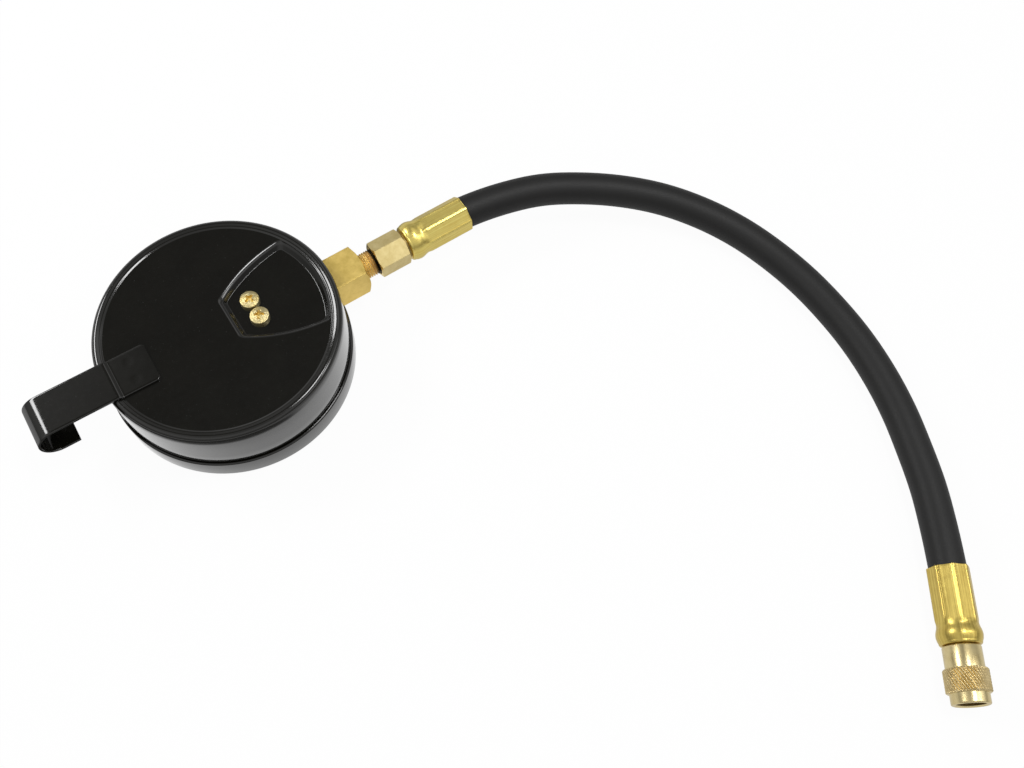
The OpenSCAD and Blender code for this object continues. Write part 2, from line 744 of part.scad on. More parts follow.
module barbed_stem(length) {
    barbs = 5;
    step = 3.6;
    low = stem_r - 0.35;
    rotate_extrude() polygon(concat(
        [[0, 0], [stem_r, 0], [stem_r, 3]],
        [for (k = [0 : barbs - 1]) each [[low, 3.4 + k * step], [stem_r, 2.9 + (k + 1) * step]]],
        [[low, 3.4 + barbs * step], [low, length], [0, length]]
    ));
}

module ferrule_form(crimp_turn) {
    bulge = ferrule_bulge / 2;
    body = ferrule_body / 2;
    difference() {
        union() {
            rotate_extrude() {
                translate([0, 0.8]) square([bulge - 0.8, 1.3]);
                polygon([[0, 0], [bulge - 1.4, 0], [bulge - 0.6, 0.5], [bulge - 0.15, 1.4],
                    [bulge, 2.6], [bulge - 0.15, 3.8], [bulge - 0.5, 4.9],
                    [body - 0.35, 5.9], [body - 0.25, 6.6], [0, 6.6]]);
            }
            intersection() {
                translate([0, 0, 6]) rotate(crimp_turn)
                    cylinder(d = ferrule_flats / cos(22.5), h = ferrule_length - 7, $fn = 8);
                translate([0, 0, 6]) cylinder(r = body, h = ferrule_length - 7);
            }
            translate([0, 0, ferrule_length - 1.2]) cylinder(r1 = body - 0.3, r2 = body - 0.5, h = 1.2);
        }
        translate([0, 0, ferrule_wall]) cylinder(r = hose_r + tiny, h = ferrule_length);
        translate([0, 0, -1]) cylinder(r = stem_r + tiny, h = 4);
    }
}

module ferrule_gauge_end() {
    color([0.85, 0.68, 0.3]) along_stem(ferrule_x) ferrule_form(gauge_crimp_turn);
}

module ferrule_tool_end() {
    color([0.85, 0.68, 0.3]) along_tool(ferrule_length) rotate([180, 0, 0])
        ferrule_form(tool_crimp_turn);
}

module hose() {
    n = len(path);
    m = hose_sides;
    outer = rings(path, hose_r);
    inner = rings(path, bore_r);
    base = n * m;
    color([0.12, 0.12, 0.12]) polyhedron(concat(outer, inner), concat(
        wall(n, m, 0, true),
        wall(n, m, base, false),
        end_cap(m, 0, base, false),
        end_cap(m, (n - 1) * m, base + (n - 1) * m, true)
    ));
}

module tool_stem() {
    color([0.84, 0.7, 0.38]) difference() {
        union() {
            along_tool(ferrule_length + 0.5) rotate([180, 0, 0]) barbed_stem(ferrule_length - 2.5);
            along_tool(ferrule_length) cylinder(r = neck_r, h = flange_x - ferrule_length + 0.1);
            along_tool(flange_x) cylinder(r = port_core / 2 - 0.15, h = flange_t);
        }
        along_tool(2) cylinder(r = stem_hole, h = 60);
    }
}

module swivel_nut() {
    count = 30;
    color([0.86, 0.76, 0.48]) difference() {
        union() {
            along_tool(nut_x) cylinder(d1 = nut_neck - 0.8, d2 = nut_neck, h = 0.4);
            along_tool(nut_x + 0.4) cylinder(d = nut_neck, h = nut_length - 1);
            along_tool(nut_x + nut_neck_length) knurled_band(count);
            along_tool(nut_x + nut_neck_length + knurl_length)
                cylinder(d = nut_end, h = nut_end_length - 0.6);
            along_tool(nut_x + nut_length - 0.6) cylinder(d1 = nut_end, d2 = nut_end - 1.2, h = 0.6);
        }
        along_tool(nut_x - 1) cylinder(r = neck_r + run, h = nut_back + 2);
        along_tool(nut_x + nut_back)
            cylinder(d = nut_relief, h = nut_length - nut_back - port_length - 0.5);
        along_tool(nut_x + nut_back) cylinder(d = port_core, h = 60);
        along_tool(nut_x + nut_length - 0.5) cylinder(d1 = port_core, d2 = port_core + 1.2, h = 0.6);
    }
}

module knurled_band(count) {
    r = knurl_diameter / 2;
    difference() {
        union() {
            cylinder(r1 = r - 0.5, r2 = r, h = 0.5);
            translate([0, 0, 0.5]) cylinder(r = r, h = knurl_length - 1);
            translate([0, 0, knurl_length - 0.5]) cylinder(r1 = r, r2 = r - 0.5, h = 0.5);
        }
        for (k = [0 : count - 1], lean = [-25, 25]) {
            cut = knurl_depth * (lean > 0 ? 1.32 : 1.41);
            turn = (lean > 0 ? k + 0.5 : k) * 360 / count;
            rotate(turn) translate([r, 0, knurl_length / 2]) rotate([lean, 0, 0]) rotate([0, 0, 45])
                cube([cut, cut, 2 * knurl_length], center = true);
        }
    }
}

module nut_washer() {
    color([0.1, 0.1, 0.1]) along_tool(flange_x + flange_t) difference() {
        cylinder(r = port_core / 2 - 0.35, h = washer_t);
        translate([0, 0, -1]) cylinder(r = 2.2, h = washer_t + 2);
    }
}

module depressor_pin() {
    color([0.85, 0.75, 0.45]) {
        along_tool(flange_x + flange_t - 3) intersection() {
            cylinder(r = stem_hole, h = 2.4);
            translate([-3, -0.9, 0]) cube([6, 1.8, 2.4]);
        }
        along_tool(flange_x + flange_t - 1) cylinder(r = 0.8, h = 3.4);
    }
}

case_shell();
bezel_ring();
lens();
lens_gasket();
dial_plate();
dial_screws();
stop_pin();
pointer();
pointer_shaft();
hairspring();
hairspring_stud();
sector_gear();
link();
bourdon_tube();
tube_tip();
movement_back_plate();
movement_front_plate();
movement_pillars();
pillar_screws();
movement_screws();
socket();
socket_screws();
hang_hook();
hex_coupling();
ferrule_gauge_end();
hose();
ferrule_tool_end();
tool_stem();
swivel_nut();
nut_washer();
depressor_pin();
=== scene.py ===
import math
from math import cos, pi, radians, sin, sqrt

import bmesh
import bpy
import numpy as np
from mathutils import Matrix, Vector, geometry

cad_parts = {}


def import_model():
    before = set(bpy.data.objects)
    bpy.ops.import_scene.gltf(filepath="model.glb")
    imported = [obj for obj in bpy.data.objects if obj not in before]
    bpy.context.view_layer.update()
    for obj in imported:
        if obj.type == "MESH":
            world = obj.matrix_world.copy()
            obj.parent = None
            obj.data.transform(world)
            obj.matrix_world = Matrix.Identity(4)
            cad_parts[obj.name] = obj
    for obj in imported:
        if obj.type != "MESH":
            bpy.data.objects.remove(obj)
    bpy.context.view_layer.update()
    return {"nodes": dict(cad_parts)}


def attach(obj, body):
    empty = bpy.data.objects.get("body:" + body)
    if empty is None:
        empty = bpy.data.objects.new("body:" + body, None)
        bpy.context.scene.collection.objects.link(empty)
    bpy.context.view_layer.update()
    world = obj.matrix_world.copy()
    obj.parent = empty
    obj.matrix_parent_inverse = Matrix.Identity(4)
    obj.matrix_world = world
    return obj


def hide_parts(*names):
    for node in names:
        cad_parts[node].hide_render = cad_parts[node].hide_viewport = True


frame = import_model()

# The looks of a fuel pressure gauge with a hose and a knurled swivel nut.
# Lengths are in millimetres and become metres in the mesh. The frame is the solids' own:
# the bezel's face lies on z = 0, +Z points out of the back and +X runs along the stem.
MM = 0.001
TURN = 2 * pi
nodes = frame["nodes"]
scene = bpy.context.scene
scene.view_settings.view_transform = "Standard"

# Case and bezel
CASE_R = 45.25
CASE_H = 31.0
RIM_FOOT = 40.95
RIM_CREST = 43.1
EDGE_R = 2.0
EDGE_END = 82.0
WALL_TOP = 26.6
PANEL_Z = 30.3
POCKET_Z = 27.9
POCKET_R = 40.9
POCKET_START = 5.5
POCKET_RUN = 1.5
POCKET_BOW = 58.6
BOW_AT = Vector((39.5, -39.1))
SHOULDER_Z = 10.9
SPIGOT_R = 44.45
SHEET = 0.9
BEZEL_R = 46.15
LIP_R = 40.95
BEZEL_H = 10.0

# Lens and dial; ticks are (start, half width), bars of the scale line (inner, outer, half width)
LENS_R = 44.25
LENS_FACE = 1.5
LENS_BACK = 3.5
DIAL_Z = 9.0
PRINT_Z = DIAL_Z - 0.03
TICK_END = 39.0
LONG_TICK = (33.5, 0.42)
SHORT_TICK = (35.8, 0.2)
SCALE_LINE = (38.8, 39.25, 0.53)
NUMBER_R = 28.6
NUMBER_SIZE = 5.6

# Screws in the pocket
SCREW_X = 14.7
SCREW_Y = 3.9
SCREW_TOP = POCKET_Z + 2.3
SCREW_DOME = 7.0
SCREW_R = 3.2
SCREW_EDGE = 0.4
SHANK_R = 1.75
SHANK_L = 6.8

# Hanging hook
STRAP_HALF = 8.1
STRAP_THICK = 1.0
STRAP_START = 25.8
STRAP_BEND = 40.6
STRAP_TURN = radians(-1.6)
STRAP_TURN_X = -46.25
STRAP_CORNER = 1.6
CURL_START = 66.3
CURL_R = 6.5
CURL_RETURN = 5.9
DIMPLE_X = -STRAP_START - 7.5
DIMPLE_Y = 3.8
DIMPLE_R = 1.9
DIMPLE_DEPTH = 0.025

# Stem
STEM_Z = 17.3
BAR_HALF = 7.0
BAR_X = 58.0
BAR_CHAMFER = 1.2
BAR_START = 10
THREAD_L = 13.5
THREAD_PITCH = 0.94
THREAD_R = 5.1
THREAD_CORE = 4.48
HEX_X = 63.7
HEX_L = 12.8
HEX_FLATS = 12.7
HEX_TURN = radians(5)
FERRULE_X = 77.4
FERRULE_L = 26.6
LAND_R = 7.15
FLAT_R = 6.75

# Blocks of the socket inside the case, by two corners each: flange, arm for the movement, foot
SOCKET_INSIDE = [
    ((9.8, -8, 23.3), (21.8, 8, 27.0)),
    ((-8, -6, 20.7), (10, 6, 24.3)),
    ((9.8, -7, 9.8), (42, 7, 12)),
]

# Hose and tool end
HOSE_R = 6.35
MOUTH = Vector((170, -210.4, 7.7))
HEADING = radians(237.1)
WAY = Vector((cos(HEADING), sin(HEADING), 0))
ROUTE = [
    (104, 0, 17.3), (120, -2.5, 17), (136, -7, 16), (151, -14.5, 14.4), (165, -24, 12.6),
    (177, -35, 10.8), (187, -48, 9), (194.5, -62, 7.5), (199.5, -77, 6.6), (202.4, -93, 6.4),
    (203.3, -109, 6.4), (202.7, -125, 6.4), (200.2, -141, 6.5), (196.2, -156, 6.7), (191, -170, 6.9),
    (185, -184, 7.2), (178, -197, 7.5)
]
NUT_S = 27.0
NUT_R = 6.4
NUT_NECK = 7.4
KNURL_L = 8.0
KNURL_R = 7.45
NUT_END = 3.7

# Camera at the photograph's angle; its eye is in metres
VIEW_TURN = radians(-33.12)
VIEW_TILT = radians(24.82)
EYE = (-0.01148, -0.21197, 0.3773)
LENS = 38.26


def camera():
    data = bpy.data.cameras.new("camera")
    data.sensor_width = 36.0
    data.lens = LENS
    data.clip_start = 0.01
    data.clip_end = 20.0
    eye = bpy.data.objects.new("camera", data)
    eye.location = EYE
    eye.rotation_euler = (VIEW_TILT, 0.0, VIEW_TURN)
    scene.collection.objects.link(eye)
    scene.camera = eye


class Tree:
    """A node tree, with short ways to add nodes and join them."""

    def __init__(self, tree):
        self.tree = tree

    def new(self, kind, **settings):
        node = self.tree.nodes.new("ShaderNode" + kind)
        for key, value in settings.items():
            if key in node.bl_rna.properties:
                setattr(node, key, value)
            else:
                node.inputs[key.replace("_", " ")].default_value = value
        return node

    def join(self, source, target):
        self.tree.links.new(source, target)

    def ramp(self, value, *stops):
        """Colours or grey levels by value; each stop is (position, colour or level)."""
        node = self.new("ValToRGB")
        elements = node.color_ramp.elements
        while len(elements) < len(stops):
            elements.new(0.5)
        for element, (position, colour) in zip(elements, stops):
            if isinstance(colour, (int, float)):
                colour = (colour, colour, colour)
            element.position = position
            element.color = (*colour, 1)
        self.join(value, node.inputs["Fac"])
        return node.outputs["Color"]

    def mix(self, factor, first, second, how="MIX"):
        node = self.new("Mix", data_type="RGBA", blend_type=how)
        for place, value in ((0, factor), (6, first), (7, second)):
            if isinstance(value, (int, float)):
                node.inputs[place].default_value = value
            elif isinstance(value, (tuple, list)):
                node.inputs[place].default_value = (*value, 1)
            else:
                self.join(value, node.inputs[place])
        return node.outputs[2]

    def times(self, first, second):
        """Two colours or levels, multiplied."""
        return self.mix(1.0, first, second, "MULTIPLY")

    def larger(self, first, second):
        node = self.new("Math", operation="MAXIMUM")
        self.join(first, node.inputs[0])
        self.join(second, node.inputs[1])
        return node.outputs["Value"]

    def span(self, value, low, high, start=0.0, end=1.0):
        """value from low to high, eased into start to end."""
        node = self.new("MapRange", interpolation_type="SMOOTHSTEP")
        for key, number in (("From Min", low), ("From Max", high), ("To Min", start), ("To Max", end)):
            node.inputs[key].default_value = number
        self.join(value, node.inputs["Value"])
        return node.outputs["Result"]

    def view_axes(self, coordinates):
        """Splits a coordinate into right, away and up as the camera sees them."""
        turned = self.new("Mapping", Rotation=(0.0, 0.0, -VIEW_TURN))
        self.join(self.new("TexCoord").outputs[coordinates], turned.inputs["Vector"])
        parts = self.new("SeparateXYZ")
        self.join(turned.outputs["Vector"], parts.inputs[0])
        return (turned.outputs["Vector"], *parts.outputs)


class Surface(Tree):
    """A material with one Principled shader; coordinates are in millimetres."""

    def __init__(self, name, **sockets):
        self.material = bpy.data.materials.new(name)
        self.material.use_nodes = True
        super().__init__(self.material.node_tree)
        self.shader = self.tree.nodes["Principled BSDF"]
        for key, value in sockets.items():
            self.shader.inputs[key.replace("_", " ")].default_value = value

    def at(self, space, scale):
        """Object or UV coordinates, stretched by scale."""
        unit = 1 / MM if space == "Object" else 1.0
        node = self.new("Mapping", Scale=[unit * s for s in scale])
        self.join(self.new("TexCoord").outputs[space], node.inputs["Vector"])
        return node.outputs["Vector"]

    def noise(self, space, scale, detail=3.0, rough=0.55):
        if isinstance(scale, (int, float)):
            scale = (scale, scale, scale)
        node = self.new("TexNoise", Scale=1.0, Detail=detail, Roughness=rough)
        self.join(self.at(space, scale), node.inputs["Vector"])
        return node.outputs["Fac"]

    def to(self, socket, source):
        self.join(source, self.shader.inputs[socket])

    def bump(self, height, strength, distance):
        """Adds relief of distance millimetres on top of the relief there is."""
        node = self.new("Bump", Strength=strength, Distance=distance * MM)
        self.join(height, node.inputs["Height"])
        if self.shader.inputs["Normal"].links:
            self.join(self.shader.inputs["Normal"].links[0].from_socket, node.inputs["Normal"])
        self.to("Normal", node.outputs["Normal"])


def paint():
    """Glossy black paint under a clear coat, with a little dust."""
    s = Surface("paint_black", IOR=1.5, Coat_Weight=0.45, Coat_Roughness=0.08)
    cloud = s.noise("Object", 0.09, 4)
    dust = s.ramp(s.noise("Object", 1.7, 1, 0.3), (0.775, 0.0), (0.80, 1.0))
    dust_grey = (0.022, 0.022, 0.021)
    black = s.ramp(cloud, (0.3, (0.0031, 0.0028, 0.0015)), (0.7, (0.0050, 0.0046, 0.0029)))
    s.to("Base Color", s.mix(dust, black, dust_grey))
    s.to("Roughness", s.ramp(s.noise("Object", 0.5, 3), (0.35, 0.09), (0.7, 0.15)))
    s.bump(s.noise("Object", 0.55, 2), 0.04, 0.05)
    return s.material


def brass(name, dark, light, rough, stain, lines, depth, streak=0.0):
    """Brass with cloudy colour, stains and tool marks; lines is (space, scale) of the marks.

    streak is the share of the colour that follows the marks.
    """
    s = Surface(name, Metallic=1.0)
    cloud = s.noise("Object", 0.3, 5, 0.6)
    fine = s.noise(*lines, 4, 0.7)
    tone = s.mix(streak, cloud, fine)
    colour = s.ramp(tone, (0.32, dark), (0.68, light))
    spots = s.ramp(s.noise("Object", 0.9, 3, 0.7), (0.58, 0.0), (0.8, stain))
    s.to("Base Color", s.mix(spots, colour, [c * k for c, k in zip(dark, (0.6, 0.52, 0.4))]))
    s.to("Roughness", s.ramp(s.mix(0.5, cloud, fine), (0.3, rough[0]), (0.7, rough[1])))
    s.bump(fine, 0.5, 0.06 * depth)
    return s.material


def thread_brass(lines):
    """Thread brass: golden by the block, copper brown further on, and painted shade, nearly black, by the
    hexagon.
    """
    s = Surface("brass_thread", Metallic=1.0)
    parts = s.new("SeparateXYZ")
    s.join(s.at("Object", (1, 1, 1)), parts.inputs[0])
    along = s.span(parts.outputs["X"], BAR_X, HEX_X + 0.3)
    golden = (0.88, 0.69, 0.31)
    copper = (0.72, 0.50, 0.20)
    # Painted shade: the last part of the thread before the hexagon turns nearly black.
    painted_hex_shade = (0.035, 0.026, 0.014)
    brown = (0.30, 0.19, 0.07)
    zones = s.ramp(along, (0.0, golden), (0.45, golden), (0.6, copper), (0.8, copper),
                   (0.9, painted_hex_shade), (1.0, painted_hex_shade))
    grime = s.ramp(s.noise("Object", 0.5, 2, 0.5), (0.5, 0.0), (0.75, 0.25))
    s.to("Base Color", s.mix(grime, zones, brown))
    s.to("Roughness", s.ramp(s.noise("Object", 1.2, 3), (0.3, 0.5), (0.7, 0.6)))
    s.bump(s.noise(*lines, 2, 0.5), 0.01, 0.03)
    return s.material


def rubber(name, shade, rough, depth):
    """Black rubber with a faint lengthwise grain and pale scuffs."""
    s = Surface(name, IOR=1.46)
    fine = s.noise("Object", 2.2, 5, 0.7)
    weave = s.noise("UV", (0.35, 1.6, 1.0), 3, 0.6)
    dark = (shade * 0.84, shade * 0.8, shade * 0.76)
    pale = (shade * 1.24, shade * 1.18, shade * 1.1)
    colour = s.ramp(s.noise("Object", 0.06, 4), (0.3, dark), (0.7, pale))
    scuff = s.ramp(s.noise("Object", 0.5, 6, 0.75), (0.62, 0.0), (0.8, 0.3))
    s.to("Base Color", s.mix(scuff, colour, (shade * 2.2, shade * 2.2, shade * 2.2)))
    s.to("Roughness", s.ramp(fine, (0.3, rough - 0.07), (0.7, rough + 0.08)))
    s.bump(weave, depth * 0.6, 0.05)
    s.bump(fine, depth, 0.04)
    return s.material


def coated(name, dark, light, rough, metallic, grain, depth):
    """A printed, plated or plain finish with a slight cloud in its colour."""
    s = Surface(name, Metallic=metallic)
    fine = s.noise("Object", 3.0, 3)
    s.to("Base Color", s.ramp(s.noise("Object", grain, 4), (0.3, dark), (0.7, light)))
    s.to("Roughness", s.ramp(fine, (0.3, rough - 0.05), (0.7, rough + 0.06)))
    s.bump(fine, depth, 0.02)
    return s.material


def glass():
    s = Surface("lens_glass", Transmission_Weight=1.0, IOR=1.49, Base_Color=(0.97, 0.985, 0.98, 1))
    s.to("Roughness", s.ramp(s.noise("Object", 0.2, 3), (0.45, 0.0), (0.8, 0.025)))
    return s.material


# Tool marks: around a turned piece, along a drawn one, along the bar, and speckled
TURNED = ("UV", (0.05, 9.0, 1.0))
DRAWN = ("UV", (1.5, 0.02, 1.0))
ALONG_BAR = ("Object", (0.08, 3.4, 3.4))
SPECKLED = ("Object", (2.4, 2.4, 2.4))
MATERIALS = {
    "paint": paint(),
    "nut": brass("brass_nut", (0.68, 0.55, 0.27), (0.80, 0.67, 0.36), (0.25, 0.34), 0.25, TURNED, 0.01),
    "hex": brass("brass_hex", (0.76, 0.60, 0.25), (0.90, 0.75, 0.37), (0.32, 0.45), 0.3, TURNED, 0.03),
    "knurl": brass("brass_knurl", (0.62, 0.485, 0.235), (0.75, 0.61, 0.33), (0.36, 0.46), 0.3,
                   SPECKLED, 0.03),
    "ferrule": brass("brass_ferrule", (0.76, 0.54, 0.12), (1.0, 0.87, 0.28), (0.26, 0.38), 0.2,
                     DRAWN, 0.6, 0.8),
    # Painted shade: a darker copy of the ferrule brass for the far ferrule, which takes more light than the
    # near one.
    "shaded_ferrule": brass("brass_ferrule_painted_shade", (0.45, 0.30, 0.06), (0.90, 0.72, 0.20), (0.26, 0.38), 0.3,
                         DRAWN, 0.6, 0.8),
    "bar": brass("brass_bar", (0.71, 0.52, 0.14), (0.86, 0.65, 0.21), (0.45, 0.58), 0.3, ALONG_BAR, 0.06),
    "screw": brass("brass_screw", (0.58, 0.46, 0.19), (0.86, 0.74, 0.40), (0.24, 0.44), 0.7, SPECKLED, 6.0),
    "recess": brass("brass_recess", (0.76, 0.58, 0.20), (0.92, 0.74, 0.31), (0.4, 0.55), 0.4,
                    SPECKLED, 3.0),
    # Painted shade: a darker brass for the gap by the hexagon and for the nut's mouth and bore.
    "bore": brass("brass_painted_shade", (0.30, 0.22, 0.09), (0.42, 0.32, 0.14), (0.4, 0.5), 0.4, TURNED, 0.05),
    "movement": brass("brass_movement", (0.60, 0.43, 0.16), (0.70, 0.52, 0.22), (0.22, 0.34), 0.3,
                      ("Object", (0.2, 6.0, 1.0)), 0.08),
    "tube": brass("bronze_tube", (0.52, 0.32, 0.13), (0.62, 0.40, 0.18), (0.24, 0.36), 0.3,
                  ("Object", (1.0, 1.0, 0.3)), 0.06),
    "thread": thread_brass(TURNED),
    "hose": rubber("hose_rubber", 0.0046, 0.55, 0.2),
    "gasket": rubber("gasket_rubber", 0.010, 0.6, 0.2),
    "dial": coated("dial_white", (0.80, 0.80, 0.775), (0.86, 0.86, 0.84), 0.42, 0.0, 0.06, 0.03),
    "ink": coated("dial_ink", (0.012, 0.012, 0.013), (0.02, 0.02, 0.02), 0.5, 0.0, 0.5, 0.02),
    "pointer": coated("pointer_black", (0.012, 0.012, 0.012), (0.022, 0.022, 0.022), 0.38, 0.0, 0.4, 0.04),
    "steel": coated("plated_steel", (0.50, 0.50, 0.49), (0.62, 0.62, 0.61), 0.30, 1.0, 0.8, 0.05),
    "spring": coated("spring_metal", (0.45, 0.36, 0.22), (0.55, 0.45, 0.28), 0.25, 1.0, 0.8, 0.03),
    "glass": glass(),
}


def on_stem(p):
    """Local (x, y, s) around the stem's axis to the part frame."""
    return (p[2], p[1], STEM_Z - p[0])


def on_tool(p):
    """Local (x, y, s) around the tool end's axis to the part frame; s starts at its ferrule's mouth."""
    side = Vector((-WAY.y, WAY.x, 0))
    return tuple(MOUTH + WAY * p[2] + side * p[1] + Vector((0, 0, -p[0])))


def on_case(p):
    """Points around the case's axis are in the part frame already."""
    return tuple(p)


def limit(value, low=0.0, high=1.0):
    return min(high, max(low, value))


def arc(x, y, r, start, end, steps):
    """Points of an arc; the angles are in degrees."""
    angles = [radians(start + (end - start) * k / steps) for k in range(steps + 1)]
    return [(x + r * cos(a), y + r * sin(a)) for a in angles]


def smooth_route(points, steps):
    """A smooth curve through the points."""
    p = [Vector(q) for q in points]
    p = [p[0] * 2 - p[1]] + p + [p[-1] * 2 - p[-2]]
    curve = []
    for a, b, c, d in zip(p, p[1:], p[2:], p[3:]):
        for k in range(steps):
            t = k / steps
            bend = (2 * a - 5 * b + 4 * c - d) * t * t + (3 * b - a - 3 * c + d) * t ** 3
            curve.append(0.5 * (2 * b + (c - a) * t + bend))
    curve.append(p[-2])
    return curve


def skin(rows, ring=False, width=None):
    """Quads over rows of points, each row a closed loop. Gives points, faces and UVs in millimetres."""
    count = len(rows)
    size = len(rows[0])
    run = [0.0]
    for i in range(count):
        run.append(run[-1] + math.dist(rows[i][0], rows[(i + 1) % count][0]))
    if width is None:
        middle = rows[count // 2]
        width = sum(math.dist(middle[j], middle[(j + 1) % size]) for j in range(size))
    faces = []
    uv = []
    for i in range(count if ring else count - 1):
        below = i * size
        above = (i + 1) % count * size
        for j in range(size):
            k = (j + 1) % size
            faces.append((below + j, below + k, above + k, above + j))
            left = j / size * width
            right = (j + 1) / size * width
            uv.append(((left, run[i]), (right, run[i]), (right, run[i + 1]), (left, run[i + 1])))
    return [p for row in rows for p in row], faces, uv


def capped(mesh, size):
    """Closes both ends of a skin whose rows have size points."""
    points, faces, uv = mesh
    last = len(points) - size
    ends = [tuple(reversed(range(size))), tuple(range(last, last + size))]
    return points, faces + ends, uv + [((0.0, 0.0),) * size] * 2


def turned(profile, steps, place, shaped=None, twist=None):
    """Rows of a turned piece from (r, s) pairs; shaped(angle, r, s) may give another (r, s).

    twist(s) turns the row at s, so that the mesh can follow slanted grooves.
    """
    rows = []
    for r, s in profile:
        row = []
        start = twist(s) if twist else 0.0
        for j in range(steps):
            t = start + TURN * j / steps
            reach, along = shaped(t, r, s) if shaped else (r, s)
            row.append(place((reach * cos(t), reach * sin(t), along)))
        rows.append(row)
    return rows


def joined(*meshes):
    points = []
    faces = []
    uv = []
    for p, f, u in meshes:
        base = len(points)
        points += p
        faces += [tuple(i + base for i in face) for face in f]
        uv += u
    return points, faces, uv


def piece(name, mesh, materials, node, body="gauge", picks=None, crease=38.0):
    """An object from points, faces and UVs that rides on a body and stands for a CAD node."""
    points, faces, uv = mesh
    data = bpy.data.meshes.new(name)
    data.from_pydata([[c * MM for c in p] for p in points], [], faces)
    for key in materials:
        data.materials.append(MATERIALS[key])
    data.polygons.foreach_set("use_smooth", [True] * len(faces))
    if picks:
        data.polygons.foreach_set("material_index", picks)
    layer = data.uv_layers.new(name="UVMap")
    layer.data.foreach_set("uv", [c for face in uv for q in face for c in q])
    work = bmesh.new()
    work.from_mesh(data)
    bmesh.ops.remove_doubles(work, verts=work.verts, dist=0.002 * MM)
    bmesh.ops.recalc_face_normals(work, faces=work.faces)
    work.to_mesh(data)
    work.free()
    data.set_sharp_from_angle(angle=radians(crease))
    thing = bpy.data.objects.new(name, data)
    scene.collection.objects.link(thing)
    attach(thing, body)
    if node:
        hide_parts(node)
    return thing


# Hose
hose_ends = [tuple(MOUTH + WAY * s) for s in (0.0, 12.0, FERRULE_L - 1)]
hose_path = smooth_route([(FERRULE_X + 1, 0, STEM_Z), (91, 0, STEM_Z)] + ROUTE + hose_ends, 6)


def hose_piece():
    sides = 40
    rows = []
    last = len(hose_path) - 1
    for i, p in enumerate(hose_path):
        ahead = (hose_path[min(i + 1, last)] - hose_path[max(i - 1, 0)]).normalized()
        side = Vector((0, 0, 1)).cross(ahead).normalized()
        up = ahead.cross(side)
        angles = [TURN * j / sides for j in range(sides)]
        rows.append([tuple(p + HOSE_R * (cos(a) * side + sin(a) * up)) for a in angles])
    return piece("hose_tube", capped(skin(rows), sides), ["hose"], "hose")


# Case and bezel
def circles_meet(centre, r, reach):
    """Where a circle about centre meets one of radius reach about the case's axis."""
    d = centre.length
    u = centre / d
    k = (reach * reach - r * r + d * d) / (2 * d)
    return k * u + sqrt(reach * reach - k * k) * Vector((-u.y, u.x))


def angle_of(v):
    return math.degrees(math.atan2(v.y, v.x))


def pocket_loop(inset):
    """The pocket's outline, moved in by inset."""
    corner = 2.6 - 0.3 * inset
    outer = POCKET_R - (1.4 if inset > 0 else 0.05) * inset
    side = POCKET_BOW - inset
    near_x = POCKET_START + inset + corner
    near = Vector((near_x, BOW_AT.y + sqrt((side - corner) ** 2 - (near_x - BOW_AT.x) ** 2)))
    far = circles_meet(BOW_AT, side - corner, outer - corner)
    near_turn = angle_of(near - BOW_AT)
    far_turn = angle_of(far - BOW_AT)
    end_turn = angle_of(far)
    half = arc(near.x, near.y, corner, 180, near_turn, 10)
    half += arc(BOW_AT.x, BOW_AT.y, side, near_turn, far_turn, 14)[1:-1]
    half += arc(far.x, far.y, corner, far_turn, end_turn, 10)
    half += arc(0, 0, outer, end_turn, 0, 16)[1:]
    return half + [(x, -y) for x, y in half[-2::-1]]


def rim_profile():
    """The case's section as (r, z), from the sunken back out over the rim and down the wall."""
    knots = [(RIM_FOOT, 0), (41.08, 0.02), (41.2, 0.075), (41.4, 0.185), (41.6, 0.29), (41.75, 0.345)]
    knots += [(41.9, 0.375), (42.05, 0.395), (42.2, 0.43), (42.4, 0.5), (42.6, 0.57), (42.75, 0.62)]
    knots += [(42.9, 0.665), (RIM_CREST - 0.08, 0.692)]
    line = [(p.x, p.y) for p in smooth_route([(r, PANEL_Z + rise, 0) for r, rise in knots], 3)]
    edge_low = CASE_H - EDGE_R * (1 - cos(radians(EDGE_END)))
    bend = (edge_low - WALL_TOP) / cos(radians(EDGE_END))
    line += arc(RIM_CREST, CASE_H - EDGE_R, EDGE_R, 90, 90 - EDGE_END, 14)
    line += arc(CASE_R - bend, WALL_TOP, bend, 90 - EDGE_END, 0, 6)[1:]
    line += [(CASE_R, 22), (CASE_R, 16)]
    line += arc(CASE_R - 0.35, SHOULDER_Z + 0.35, 0.35, 0, -90, 4)
    line += [(SPIGOT_R, SHOULDER_Z), (SPIGOT_R, 4.5), (SPIGOT_R - SHEET, 4.5), (SPIGOT_R - SHEET, 11.8)]
    line += [(CASE_R - SHEET, 11.8), (CASE_R - SHEET, WALL_TOP), (43, 29.4), (42.2, 29.4)]
    return line


def pocket_wall():
    """The pocket's wall as (inset, z), rounded over at the top and filleted at the bottom."""
    top = 2.2
    foot = 0.35
    drop = PANEL_Z - POCKET_Z
    lean = math.atan2(drop, POCKET_RUN)
    angles = [lean * k / 6 for k in range(7)]
    line = [(top * (sin(a) - math.tan(lean / 2)), PANEL_Z - top * (1 - cos(a))) for a in angles]
    start = POCKET_RUN + foot * math.tan(lean / 2)
    return line + [(start - foot * sin(a), POCKET_Z + foot * (1 - cos(a))) for a in reversed(angles)]


def pan(loop):
    """A flat face over a loop of points."""
    return loop, [tuple(range(len(loop)))], [tuple((x, y) for x, y, z in loop)]


def sheet_around(edge, hole):
    """A flat sheet between an outer edge and a hole, each a loop of points."""
    points = [Vector(p) for p in edge + hole]
    faces = geometry.tessellate_polygon([points[:len(edge)], points[len(edge):]])
    uv = [tuple((points[i].x, points[i].y) for i in face) for face in faces]
    return [tuple(p) for p in points], faces, uv


